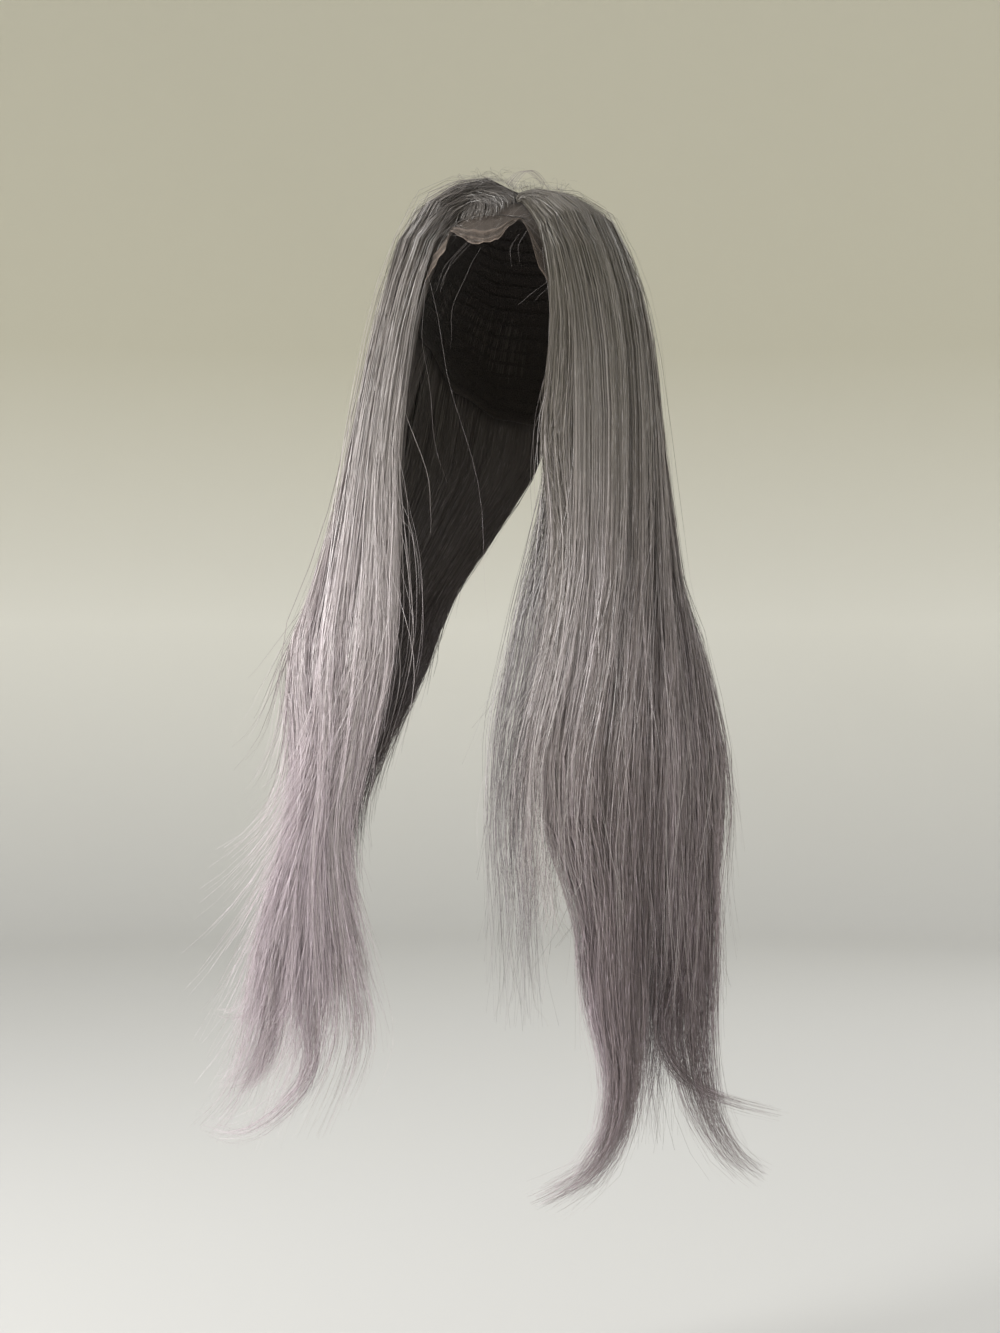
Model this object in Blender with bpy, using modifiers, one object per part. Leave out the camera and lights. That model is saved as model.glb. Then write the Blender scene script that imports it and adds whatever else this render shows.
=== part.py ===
"""Long lace front wig, in the form that it has when it is worn.

Metres, +Z up. The face opening looks along -Y, the middle of the head is X = 0, and the origin
is where the top of the head meets the inside of the cap. Left and right are as seen from the
front. All hair is drawn forward in front of the shoulders, as it is worn here.
"""

from math import cos, pi, radians, sin

import bmesh
import bpy
from mathutils import Vector

# Head form that the cap is sewn for
HEAD_HALF_WIDTH = 0.078
HEAD_HALF_DEPTH = 0.098
HEAD_RISE = 0.100  # from the widest level of the head up to its top
CHIN_LEVEL = -0.200

# Walls and running gaps
CAP_WALL = 0.0015
LACE_WALL = 0.0010
HAIR_GAP = 0.0013  # hair above the cap and the lace, before its facets are counted
PART_GAP = 0.0004  # from the parting to the hair of each side
SEAM_TURN = 0.3  # degrees from the seam behind the ear to the hair of each side
LEAST_HAIR = 0.0022  # thinnest hair over the cap

# Cap, half of it: turn is degrees from the front, drop is degrees from the top of the head
CAP_RINGS = 8
CAP_BACK_TURNS = 15
CAP_EDGE = (
    # turn, drop
    (0, 41),
    (25, 43),
    (48, 58),
    (66, 84),
    (76, 96),
    (92, 84),
    (108, 92),
    (128, 112),
    (155, 124),
    (180, 127),
)

# Lace: its cut edge from left to right, how far the edge stands off the head and where it is sewn on
LACE_ROWS = 7
LACE_SPLITS = 2  # columns of faces between two rows of the table
LACE_SEAM = 0.35  # degrees between the cap and the lace
LACE_EDGE = (
    # turn, drop, lift, seam_turn
    (-74, 97, 0.0000, -74),
    (-58, 93, 0.0000, -60),
    (-44, 80, 0.0006, -48),
    (-35, 72, 0.0010, -41),
    (-28, 67, 0.0020, -35),
    (-22, 62, 0.0045, -29),
    (-23, 53, 0.0060, -24),
    (-14, 56, 0.0035, -17),
    (-5, 60, 0.0020, -9),
    (3, 59, 0.0015, -2),
    (10, 58, 0.0020, 5),
    (14, 53, 0.0025, 11),
    (20, 48, 0.0030, 17),
    (25, 46, 0.0035, 22),
    (28, 53, 0.0028, 28),
    (30, 62, 0.0020, 34),
    (33, 70, 0.0010, 40),
    (40, 79, 0.0006, 47),
    (58, 93, 0.0000, 60),
    (74, 97, 0.0000, 74),
)
LACE_FOLDS = (
    # place between the seam and the edge, width, height
    (0.62, 0.10, 0.0012),
    (0.86, 0.06, 0.0010),
)

# Parting and crown line that both sides of the hair grow from, front to back
PARTING = (
    # share, x, y
    (0.00, 0.0150, -0.0420),
    (0.20, 0.0085, -0.0150),
    (0.45, 0.0010, 0.0220),
    (0.70, 0.0000, 0.0520),
    (1.00, 0.0000, 0.0790),
)
SIDE_SEAM = 0.60  # share of the crown line where the curtain ends and the nape fall begins
BELT_TURN = (
    # share, degrees from the front where the hair passes the widest level of the head
    (0.00, 41.0),
    (SIDE_SEAM, 115.0),
    (1.00, 179.6),
)
CROWN_ROWS = 7
CROWN_DEPTH = (
    # share of the way from the parting to the widest level, left depth, right depth
    (0.00, 0.0040, 0.0035),
    (0.16, 0.0120, 0.0070),
    (0.35, 0.0155, 0.0130),
    (0.55, 0.0185, 0.0180),
    (0.75, 0.0205, 0.0205),
    (1.00, 0.0215, 0.0215),
)
# Where the front edge of the hair passes half way to the temple, as a turn and a drop
FRONT_SWEEP = {-1: (-30.0, 33.0), 1: (36.0, 44.0)}
SWEEP_REACH = 0.55  # share of a curtain that follows the sweep of its front edge

# Falls: the outer face of the hair at each level, from its first edge over its middle to its last
CURTAIN_LEFT = (
    # z, first x, first y, middle x, middle y, last x, last y, depth
    (-0.10, -0.053, -0.077, -0.101, -0.020, -0.095, 0.045, 0.021),
    (-0.18, -0.061, -0.088, -0.114, -0.035, -0.105, 0.034, 0.024),
    (-0.26, -0.060, -0.100, -0.118, -0.066, -0.124, 0.000, 0.026),
    (-0.34, -0.057, -0.120, -0.122, -0.112, -0.148, -0.056, 0.026),
    (-0.42, -0.074, -0.135, -0.110, -0.136, -0.136, -0.092, 0.025),
    (-0.46, -0.086, -0.134, -0.112, -0.137, -0.132, -0.104, 0.023),
    (-0.50, -0.087, -0.128, -0.120, -0.131, -0.149, -0.098, 0.021),
    (-0.56, -0.079, -0.124, -0.124, -0.125, -0.171, -0.092, 0.018),
    (-0.62, -0.075, -0.119, -0.130, -0.120, -0.184, -0.088, 0.014),
    (-0.70, -0.112, -0.117, -0.158, -0.118, -0.202, -0.088, 0.009),
)
CURTAIN_RIGHT = (
    (-0.10, 0.052, -0.077, 0.101, -0.020, 0.095, 0.045, 0.021),
    (-0.18, 0.047, -0.089, 0.107, -0.034, 0.102, 0.036, 0.024),
    (-0.26, 0.057, -0.104, 0.112, -0.066, 0.120, 0.004, 0.026),
    (-0.34, 0.056, -0.125, 0.117, -0.114, 0.156, -0.055, 0.027),
    (-0.42, 0.046, -0.146, 0.118, -0.150, 0.178, -0.092, 0.026),
    (-0.50, 0.050, -0.149, 0.118, -0.150, 0.177, -0.106, 0.023),
    (-0.60, 0.078, -0.140, 0.126, -0.140, 0.176, -0.102, 0.017),
)
NAPE_LEFT = (
    (-0.10, -0.0955, 0.0460, -0.056, 0.0995, -0.0006, 0.118, 0.019),
    (-0.18, -0.100, 0.043, -0.060, 0.088, -0.0006, 0.103, 0.020),
    (-0.24, -0.113, 0.020, -0.084, 0.062, -0.030, 0.082, 0.023),
    (-0.30, -0.130, -0.016, -0.098, 0.018, -0.054, 0.028, 0.024),
    (-0.35, -0.140, -0.048, -0.100, -0.036, -0.052, -0.040, 0.022),
    (-0.40, -0.132, -0.068, -0.100, -0.070, -0.067, -0.076, 0.018),
    (-0.46, -0.120, -0.080, -0.104, -0.083, -0.090, -0.085, 0.014),
    (-0.54, -0.126, -0.078, -0.110, -0.081, -0.094, -0.083, 0.012),
)
NAPE_RIGHT = (
    (-0.10, 0.0955, 0.0460, 0.056, 0.0995, 0.0006, 0.118, 0.019),
    (-0.18, 0.098, 0.045, 0.060, 0.088, 0.0006, 0.103, 0.020),
    (-0.24, 0.108, 0.023, 0.082, 0.062, 0.030, 0.082, 0.023),
    (-0.30, 0.129, -0.012, 0.100, 0.020, 0.056, 0.028, 0.024),
    (-0.35, 0.149, -0.046, 0.100, -0.038, 0.044, -0.048, 0.022),
    (-0.40, 0.158, -0.068, 0.094, -0.078, 0.028, -0.096, 0.018),
    (-0.48, 0.158, -0.082, 0.090, -0.094, 0.024, -0.110, 0.016),
    (-0.64, 0.150, -0.080, 0.090, -0.094, 0.036, -0.110, 0.012),
)

# Level of the tips across each fall, from its first edge to its last
TIPS = {
    "curtain_left": ((0.0, -0.640), (0.15, -0.672), (0.3, -0.655), (0.45, -0.690), (0.6, -0.662),
                     (0.75, -0.684), (0.9, -0.650), (1.0, -0.625)),
    "curtain_right": ((0.0, -0.480), (0.12, -0.520), (0.25, -0.485), (0.4, -0.560), (0.55, -0.545),
                      (0.7, -0.555), (0.88, -0.590), (1.0, -0.565)),
    "nape_fall_left": ((0.0, -0.520), (0.35, -0.548), (0.7, -0.522), (1.0, -0.505)),
    "nape_fall_right": ((0.0, -0.600), (0.2, -0.640), (0.4, -0.590), (0.6, -0.608), (0.8, -0.560),
                        (0.9, -0.588), (1.0, -0.545)),
}
FALL_ROWS = 17
COLUMNS = {"curtain": 17, "nape": 13}
LOBES = {"curtain": 5, "nape": 3}  # locks that show across a fall
LOBE_DEPTH = 0.0022
TAPER = 0.070  # height over which a fall thins out to its tips

# Locks that hang below the falls
LOCK_SIDES = 10
LOCK_SPLITS = 2
FRONT_LOCK = (
    # x, y, z, width, depth
    (0.112, -0.138, -0.440, 0.030, 0.014),
    (0.111, -0.139, -0.500, 0.044, 0.018),
    (0.109, -0.138, -0.550, 0.048, 0.019),
    (0.111, -0.135, -0.590, 0.040, 0.019),
    (0.114, -0.133, -0.630, 0.024, 0.016),
    (0.108, -0.133, -0.668, 0.018, 0.013),
    (0.088, -0.135, -0.700, 0.013, 0.010),
    (0.053, -0.139, -0.719, 0.004, 0.004),
)
OUTER_LOCK = (
    (0.158, -0.112, -0.440, 0.026, 0.012),
    (0.158, -0.111, -0.520, 0.036, 0.016),
    (0.156, -0.108, -0.580, 0.038, 0.017),
    (0.157, -0.104, -0.620, 0.034, 0.015),
    (0.166, -0.101, -0.658, 0.023, 0.012),
    (0.184, -0.100, -0.688, 0.012, 0.008),
    (0.205, -0.100, -0.702, 0.004, 0.004),
)
SHADED_LOCK = (
    (0.127, -0.090, -0.540, 0.020, 0.009),
    (0.127, -0.091, -0.600, 0.026, 0.010),
    (0.126, -0.091, -0.645, 0.018, 0.008),
    (0.124, -0.091, -0.688, 0.004, 0.004),
)
CURLED_TIPS = (
    (-0.152, -0.102, -0.580, 0.024, 0.010),
    (-0.164, -0.099, -0.625, 0.028, 0.011),
    (-0.180, -0.096, -0.662, 0.018, 0.008),
    (-0.206, -0.094, -0.696, 0.004, 0.004),
)

COLOURS = {
    # linear colour, roughness
    "wig_cap": ((0.060, 0.045, 0.036), 0.85),
    "lace_front": ((0.165, 0.120, 0.086), 0.80),
    "curtain_left": ((0.300, 0.262, 0.262), 0.42),
    "curtain_right": ((0.262, 0.228, 0.222), 0.42),
    "nape_fall_left": ((0.190, 0.163, 0.160), 0.48),
    "nape_fall_right": ((0.196, 0.170, 0.166), 0.48),
}


def clear_scene():
    for thing in list(bpy.data.objects):
        bpy.data.objects.remove(thing, do_unlink=True)


def new_collection(name):
    group = bpy.data.collections.new(name)
    bpy.context.scene.collection.children.link(group)
    return group


def finish_of(name):
    """Principled material in the colour and roughness that the table gives for a node."""
    colour, roughness = COLOURS[name]
    material = bpy.data.materials.new(name + "_finish")
    material.use_nodes = True
    shader = material.node_tree.nodes["Principled BSDF"]
    shader.inputs["Base Color"].default_value = (*colour, 1.0)
    shader.inputs["Roughness"].default_value = roughness
    shader.inputs["Metallic"].default_value = 0.0
    material.diffuse_color = (*colour, 1.0)
    return material


def ease(share):
    share = min(max(share, 0.0), 1.0)
    return share * share * (3 - 2 * share)


def read(table, at, column, smooth=False):
    """Value of a column between the rows of a table whose first column rises."""
    if at <= table[0][0]:
        return table[0][column]
    for low, high in zip(table, table[1:]):
        if at <= high[0]:
            share = (at - low[0]) / (high[0] - low[0])
            share = ease(share) if smooth else share
            return low[column] + (high[column] - low[column]) * share
    return table[-1][column]


def read_level(table, z, column):
    """Value of a column at a level, on a smooth curve through rows that go down."""
    heights = [row[0] for row in table]
    last = len(table) - 2
    row = next((i for i in range(last) if z >= heights[i + 1]), last)
    span = heights[row + 1] - heights[row]
    share = min(max((z - heights[row]) / span, 0.0), 1.2)

    def slope(i):
        before, after = max(i - 1, 0), min(i + 1, len(table) - 1)
        return (table[after][column] - table[before][column]) / (heights[after] - heights[before])

    start, end = table[row][column], table[row + 1][column]
    square, cube = share * share, share**3
    return (
        (2 * cube - 3 * square + 1) * start
        + (cube - 2 * square + share) * span * slope(row)
        + (3 * square - 2 * cube) * end
        + (cube - square) * span * slope(row + 1)
    )


def toward(turn, drop):
    """Direction on the unit ball, a turn from the front and a drop from the top, in degrees."""
    turn, drop = radians(turn), radians(drop)
    return Vector((sin(drop) * sin(turn), -sin(drop) * cos(turn), cos(drop)))


def on_head(direction, out):
    """Point at a distance outside the head form."""
    return Vector((
        direction.x * (HEAD_HALF_WIDTH + out),
        direction.y * (HEAD_HALF_DEPTH + out),
        direction.z * (HEAD_RISE + out) - HEAD_RISE,
    ))


def clear_of_head(point, out):
    """The point itself, or the nearest one along its ray that is that far outside the head form."""
    if point.z < CHIN_LEVEL:
        return point
    ratio = Vector((
        point.x / (HEAD_HALF_WIDTH + out),
        point.y / (HEAD_HALF_DEPTH + out),
        (point.z + HEAD_RISE) / (HEAD_RISE + out),
    )).length
    if ratio >= 1:
        return point
    centre = Vector((0, 0, -HEAD_RISE))
    return centre + (point - centre) / ratio


def add_object(name, mesh, group):
    thing = bpy.data.objects.new(name, mesh)
    group.objects.link(thing)
    return thing


def grid_mesh(name, rows, closed=False):
    """Open surface through rows of points, with its faces turned outward."""
    model = bmesh.new()
    grid = [[model.verts.new(point) for point in row] for row in rows]
    across = len(rows[0])
    for upper, lower in zip(grid, grid[1:]):
        for i in range(across if closed else across - 1):
            j = (i + 1) % across
            model.faces.new((upper[i], lower[i], lower[j], upper[j]))
    mesh = bpy.data.meshes.new(name)
    model.to_mesh(mesh)
    model.free()
    return mesh


def shade_smooth(mesh):
    mesh.polygons.foreach_set("use_smooth", [True] * len(mesh.polygons))
    mesh.update()


def solidify(thing, thickness):
    wall = thing.modifiers.new("wall", "SOLIDIFY")
    wall.thickness = thickness
    wall.offset = -1
    wall.use_even_offset = True


def lace_columns():
    """Rows of the lace table, with the columns of faces between them filled in."""
    columns = []
    for low, high in zip(LACE_EDGE, LACE_EDGE[1:]):
        for step in range(LACE_SPLITS):
            share = step / LACE_SPLITS
            columns.append(tuple(a + (b - a) * share for a, b in zip(low, high)))
    return columns + [LACE_EDGE[-1]]


def cap_edge_drop(turn):
    return read(CAP_EDGE, abs(turn), 1, smooth=True)


def build_cap(group):
    """Hollow dome from the top of the head to its shaped lower edge, open below."""
    turns = [column[3] for column in lace_columns()]
    first, back = turns[-1], 360 + turns[0]
    turns += [first + (back - first) * i / CAP_BACK_TURNS for i in range(1, CAP_BACK_TURNS)]
    rows = []
    for ring in range(1, CAP_RINGS + 1):
        share = ring / CAP_RINGS
        drops = [share * cap_edge_drop((turn + 180) % 360 - 180) for turn in turns]
        rows.append([on_head(toward(turn, drop), CAP_WALL) for turn, drop in zip(turns, drops)])
    mesh = grid_mesh("wig_cap", rows, closed=True)
    model = bmesh.new()
    model.from_mesh(mesh)
    model.verts.ensure_lookup_table()
    ring = list(model.verts)[: len(turns)]
    top = model.verts.new(on_head(Vector((0, 0, 1)), CAP_WALL))
    for i, vert in enumerate(ring):
        model.faces.new((top, vert, ring[(i + 1) % len(ring)]))
    bmesh.ops.recalc_face_normals(model, faces=model.faces)
    model.to_mesh(mesh)
    model.free()
    shade_smooth(mesh)
    cap = add_object("wig_cap", mesh, group)
    solidify(cap, CAP_WALL)
    return cap


def lace_lift(share, edge_lift):
    """How far the lace stands off the head between its seam and its cut edge."""
    folds = sum(
        height * max(0.0, cos(min(abs(share - place) / width, 1.0) * pi / 2)) ** 2
        for place, width, height in LACE_FOLDS
    )
    return edge_lift * share * share + folds


def build_lace(group):
    """Sheer panel sewn to the front of the cap, with a stepped cut edge and two folds along it."""
    rows = []
    for step in range(LACE_ROWS + 1):
        share = step / LACE_ROWS
        row = []
        for turn, drop, lift, seam_turn in lace_columns():
            seam_drop = cap_edge_drop(seam_turn) + LACE_SEAM
            direction = toward(
                seam_turn + (turn - seam_turn) * share,
                seam_drop + (max(drop, seam_drop + 1.2) - seam_drop) * share,
            )
            shown = 1.0 if abs(turn) < 32 else 0.0
            row.append(on_head(direction, LACE_WALL + shown * lace_lift(share, lift)))
        rows.append(row)
    mesh = grid_mesh("lace_front", rows)
    shade_smooth(mesh)
    lace = add_object("lace_front", mesh, group)
    solidify(lace, LACE_WALL)
    return lace


def root_direction(share, side):
    """Where on the crown line a hair grows, kept a little to its own side of the parting."""
    x = read(PARTING, share, 1, smooth=True) + side * PART_GAP
    y = read(PARTING, share, 2)
    flat = Vector((x / HEAD_HALF_WIDTH, y / HEAD_HALF_DEPTH, 0))
    return Vector((flat.x, flat.y, (1 - flat.length_squared) ** 0.5))


def crown_direction(share, way, side, sweep):
    """Direction of a hair on its way over the head, from its root to the widest level."""
    root = root_direction(share, side)
    belt = toward(side * read(BELT_TURN, share, 1), 90)
    middle = (root + belt).normalized()
    swept = toward(*FRONT_SWEEP[side])
    via = middle.lerp(swept, sweep).normalized() * 1.15
    flat = root * (1 - way) ** 2 + via * 2 * way * (1 - way) + belt * way**2
    return flat.normalized()


def fall_face(table, share, z):
    """Point of a fall's outer face at a level, and the horizontal way out of it."""
    first, middle, last = (
        Vector((read_level(table, z, 1 + 2 * i), read_level(table, z, 2 + 2 * i))) for i in range(3)
    )
    point = (
        first * (2 * share - 1) * (share - 1)
        + middle * 4 * share * (1 - share)
        + last * share * (2 * share - 1)
    )
    along = first * (4 * share - 3) + middle * (4 - 8 * share) + last * (4 * share - 1)
    out = Vector((along.y, -along.x)).normalized()
    return Vector((point.x, point.y, z)), Vector((out.x, out.y, 0))


def edge_share(kind, share, fallen):
    """Part of the full depth of hair near the two edges of a fall."""
    first_edge = 0.24 if kind == "curtain" else 1.0 - 0.65 * fallen
    last_edge = 1.0 - 0.65 * fallen
    rise = first_edge + (1 - first_edge) * ease(share / 0.28)
    drop = last_edge + (1 - last_edge) * ease((1 - share) / 0.28)
    return rise * drop


def own_side(point, side):
    """The point itself, or moved back to its own side of the middle of the head."""
    return Vector((side * max(side * point.x, PART_GAP), point.y, point.z))


def hair_faces(name, side, table):
    """Outer and inner rows of points of one body of hair, from the crown line to its tips."""
    kind = "curtain" if name.startswith("curtain") else "nape"
    start, end = (0.0, SIDE_SEAM) if kind == "curtain" else (SIDE_SEAM, 1.0)
    columns = COLUMNS[kind]
    depth_column = 1 if side < 0 else 2
    near = CAP_WALL + HAIR_GAP
    belt = table[0][0]
    outer, inner = [], []
    for row in range(CROWN_ROWS + FALL_ROWS + 1):
        outer_row, inner_row = [], []
        for column in range(columns):
            share = column / (columns - 1)
            crown_share = start + (end - start) * share
            if kind == "curtain":
                crown_share = min(crown_share, SIDE_SEAM - SEAM_TURN / 180)
            else:
                crown_share = max(crown_share, SIDE_SEAM + SEAM_TURN / 180)
            ripple = LOBE_DEPTH * cos(2 * pi * LOBES[kind] * (share - 0.5))
            if row < CROWN_ROWS:
                way = row / CROWN_ROWS
                sweep = (1 - ease(share / SWEEP_REACH)) if kind == "curtain" else 0.0
                direction = crown_direction(crown_share, way, side, sweep)
                depth = read(CROWN_DEPTH, way, depth_column, smooth=True)
                depth *= edge_share(kind, share, 0.0)
                out = near + depth + ripple * ease(way)
                over, under = on_head(direction, out), on_head(direction, near)
                face, way_out = fall_face(table, share, belt)
                depth = read_level(table, belt, 7) * edge_share(kind, share, 0.0)
                end_direction = crown_direction(crown_share, 1.0, side, sweep)
                end_out = near + read(CROWN_DEPTH, 1.0, depth_column) * edge_share(kind, share, 0.0)
                shift = ease((way - 0.35) / 0.65)
                over += (face - on_head(end_direction, end_out)) * shift
                under += (face - side * way_out * depth - on_head(end_direction, near)) * shift
            else:
                tip = read(TIPS[name], share, 1, smooth=True)
                fall = (row - CROWN_ROWS) / FALL_ROWS
                z = belt + (tip - belt) * fall
                fallen = ease((belt - z) / 0.10)
                face, way_out = fall_face(table, share, z)
                thin = 0.12 + 0.88 * ease((z - tip) / TAPER)
                depth = read_level(table, z, 7) * edge_share(kind, share, fallen) * thin
                over = face + side * way_out * ripple * thin
                under = face - side * way_out * depth
            over = clear_of_head(over, near + LEAST_HAIR)
            under = clear_of_head(under, near)
            if kind == "nape":
                over, under = (own_side(point, side) for point in (over, under))
            outer_row.append(over)
            inner_row.append(under)
        outer.append(outer_row)
        inner.append(inner_row)
    return outer, inner


def closed_mesh(name, outer, inner):
    """Closed body between two grids of points, sewn together along all four edges."""
    model = bmesh.new()
    faces = [[[model.verts.new(point) for point in row] for row in grid] for grid in (outer, inner)]
    rows, columns = len(outer), len(outer[0])

    def quad(a, b, c, d):
        model.faces.new((a, b, c, d))

    for r in range(rows - 1):
        for c in range(columns - 1):
            front, back = faces
            quad(front[r][c], front[r + 1][c], front[r + 1][c + 1], front[r][c + 1])
            quad(back[r][c], back[r][c + 1], back[r + 1][c + 1], back[r + 1][c])
    front, back = faces
    for r in range(rows - 1):
        quad(front[r][0], back[r][0], back[r + 1][0], front[r + 1][0])
        last = columns - 1
        quad(front[r][last], front[r + 1][last], back[r + 1][last], back[r][last])
    for c in range(columns - 1):
        last = rows - 1
        quad(front[0][c], front[0][c + 1], back[0][c + 1], back[0][c])
        quad(front[last][c], back[last][c], back[last][c + 1], front[last][c + 1])
    bmesh.ops.recalc_face_normals(model, faces=model.faces)
    mesh = bpy.data.meshes.new(name)
    model.to_mesh(mesh)
    model.free()
    shade_smooth(mesh)
    return mesh


def lock_mesh(name, table):
    """Tapered lock lofted through flat oval sections along its path."""
    stations = []
    for i in range((len(table) - 1) * LOCK_SPLITS + 1):
        low = min(i // LOCK_SPLITS, len(table) - 2)
        share = i / LOCK_SPLITS - low
        before, after = max(low - 1, 0), min(low + 2, len(table) - 1)
        row = []
        for a, b, c, d in zip(table[before], table[low], table[low + 1], table[after]):
            ahead, behind = (c - a) / 2, (d - b) / 2
            row.append(
                b + ahead * share
                + (3 * (c - b) - 2 * ahead - behind) * share**2
                + (2 * (b - c) + ahead + behind) * share**3
            )
        stations.append(row)
    centres = [Vector(row[:3]) for row in stations]
    model = bmesh.new()
    rings = []
    for i, (x, y, z, width, depth) in enumerate(stations):
        along = (centres[min(i + 1, len(centres) - 1)] - centres[max(i - 1, 0)]).normalized()
        across = along.cross(Vector((0, 1, 0))).normalized()
        deep = along.cross(across)
        ring = []
        for k in range(LOCK_SIDES):
            angle = 2 * pi * k / LOCK_SIDES
            offset = across * width / 2 * cos(angle) + deep * depth / 2 * sin(angle)
            ring.append(model.verts.new(centres[i] + offset))
        rings.append(ring)
    for ring, following in zip(rings, rings[1:]):
        for k in range(LOCK_SIDES):
            j = (k + 1) % LOCK_SIDES
            model.faces.new((ring[k], ring[j], following[j], following[k]))
    model.faces.new(rings[0])
    model.faces.new(rings[-1])
    bmesh.ops.recalc_face_normals(model, faces=model.faces)
    mesh = bpy.data.meshes.new(name)
    model.to_mesh(mesh)
    model.free()
    shade_smooth(mesh)
    return mesh


def join_lock(hair, name, table, cutters):
    """Fuses a hanging lock to a body of hair."""
    lock = add_object(name, lock_mesh(name, table), cutters)
    lock.hide_render = True
    lock.display_type = "WIRE"
    union = hair.modifiers.new(name, "BOOLEAN")
    union.operation = "UNION"
    union.solver = "EXACT"
    union.object = lock


def build_hair(name, side, table, group):
    outer, inner = hair_faces(name, side, table)
    return add_object(name, closed_mesh(name, outer, inner), group)


def main():
    clear_scene()
    parts = new_collection("lace_front_wig")
    cutters = new_collection("cutters")
    nodes = [build_cap(parts), build_lace(parts)]
    left = build_hair("curtain_left", -1, CURTAIN_LEFT, parts)
    right = build_hair("curtain_right", 1, CURTAIN_RIGHT, parts)
    nape_left = build_hair("nape_fall_left", -1, NAPE_LEFT, parts)
    nape_right = build_hair("nape_fall_right", 1, NAPE_RIGHT, parts)
    join_lock(right, "front_lock", FRONT_LOCK, cutters)
    join_lock(right, "outer_lock", OUTER_LOCK, cutters)
    join_lock(nape_right, "shaded_lock", SHADED_LOCK, cutters)
    join_lock(left, "curled_tips", CURLED_TIPS, cutters)
    nodes += [left, right, nape_left, nape_right]
    for node in nodes:
        node.data.materials.append(finish_of(node.name))


main()
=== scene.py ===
"""Dresses the long lace front wig: strands of hair, net cap, sheer lace and a plain pale studio.

Metres, +Z up, the face opening looks along -Y. Left and right are as seen from the front. The
hair follows the same named forms as the solids that it stands for.
"""

from __future__ import annotations

import logging
from dataclasses import dataclass, field
from enum import Enum
from math import cos, pi, radians, sin

import bmesh
import bpy
import numpy as np
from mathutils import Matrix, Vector


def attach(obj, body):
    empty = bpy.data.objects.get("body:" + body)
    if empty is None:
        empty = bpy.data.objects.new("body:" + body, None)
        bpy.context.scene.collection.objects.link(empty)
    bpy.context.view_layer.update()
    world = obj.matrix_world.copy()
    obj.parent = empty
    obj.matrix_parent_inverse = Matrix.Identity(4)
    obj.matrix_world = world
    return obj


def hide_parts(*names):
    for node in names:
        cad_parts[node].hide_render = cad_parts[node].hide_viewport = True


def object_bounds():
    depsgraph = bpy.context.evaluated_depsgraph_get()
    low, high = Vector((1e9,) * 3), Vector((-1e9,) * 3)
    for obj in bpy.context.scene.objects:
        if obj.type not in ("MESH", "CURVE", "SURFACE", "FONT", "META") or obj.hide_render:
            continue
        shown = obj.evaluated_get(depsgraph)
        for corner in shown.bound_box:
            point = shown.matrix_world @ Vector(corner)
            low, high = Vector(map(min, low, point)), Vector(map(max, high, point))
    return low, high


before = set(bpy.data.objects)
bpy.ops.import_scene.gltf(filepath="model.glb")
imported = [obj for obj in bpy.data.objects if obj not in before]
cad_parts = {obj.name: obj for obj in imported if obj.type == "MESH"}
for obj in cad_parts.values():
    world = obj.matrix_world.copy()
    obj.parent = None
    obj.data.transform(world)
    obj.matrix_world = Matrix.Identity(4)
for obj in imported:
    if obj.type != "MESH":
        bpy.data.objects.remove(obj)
BOX_AT_LOAD = [list(corner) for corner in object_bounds()]

LOG = logging.getLogger("lace_front_wig")
Array = np.ndarray
Random = np.random.Generator
Socket = bpy.types.NodeSocket
Table = tuple[tuple[float, ...], ...]
Colour = tuple[float, float, float]

# Head form that the cap is sewn for, and the level below which nothing has to clear it
HEAD_HALVES = np.array((0.078, 0.098, 0.100))
HEAD_RISE = 0.100
HEAD_CENTRE = np.array((0.0, 0.0, -HEAD_RISE))
CHIN_LEVEL = -0.200
CAP_WALL = 0.0015
LACE_WALL = 0.0010
# The hair lies from NEAR outwards, clear of the centre plane and of the seam between two bodies
HAIR_GAP = 0.0013
NEAR = CAP_WALL + HAIR_GAP
PART_GAP = 0.0004
SEAM_TURN = 0.3
LEAST_HAIR = 0.0022
# Widest level of the head, length of the thinning above the tips, and height of the locks' ripple
BELT = -0.10
TAPER = 0.070
LOBE_DEPTH = 0.0022
LONGEST_HAIR = 0.80
# How far hair may reach beyond the solids, in x, y and z
REACH = np.array((0.0195, 0.0155, 0.0280))
# Way that hairs over the face opening are turned
FORWARD = np.array((0.0, -1.0, 0.0))
# Height of a fold that is drawn in full
FULL_FOLD = 0.0012

CAP_EDGE: Table = (
    # turn, drop
    (0, 41), (25, 43), (48, 58), (66, 84), (76, 96), (92, 84), (108, 92), (128, 112),
    (155, 124), (180, 127),
)
LACE_EDGE: Table = (
    # turn, drop, lift, seam_turn
    (-74, 97, 0.0000, -74),
    (-58, 93, 0.0000, -60),
    (-44, 80, 0.0006, -48),
    (-35, 72, 0.0010, -41),
    (-28, 67, 0.0020, -35),
    (-22, 62, 0.0045, -29),
    (-23, 53, 0.0060, -24),
    (-14, 56, 0.0035, -17),
    (-5, 60, 0.0020, -9),
    (3, 59, 0.0015, -2),
    (10, 58, 0.0020, 5),
    (14, 53, 0.0025, 11),
    (20, 48, 0.0030, 17),
    (25, 46, 0.0035, 22),
    (28, 53, 0.0028, 28),
    (30, 62, 0.0020, 34),
    (33, 70, 0.0010, 40),
    (40, 79, 0.0006, 47),
    (58, 93, 0.0000, 60),
    (74, 97, 0.0000, 74),
)
LACE_FOLDS: Table = (
    # place between the seam and the edge, width, height
    (0.62, 0.10, 0.0012),
    (0.86, 0.06, 0.0010),
)
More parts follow.
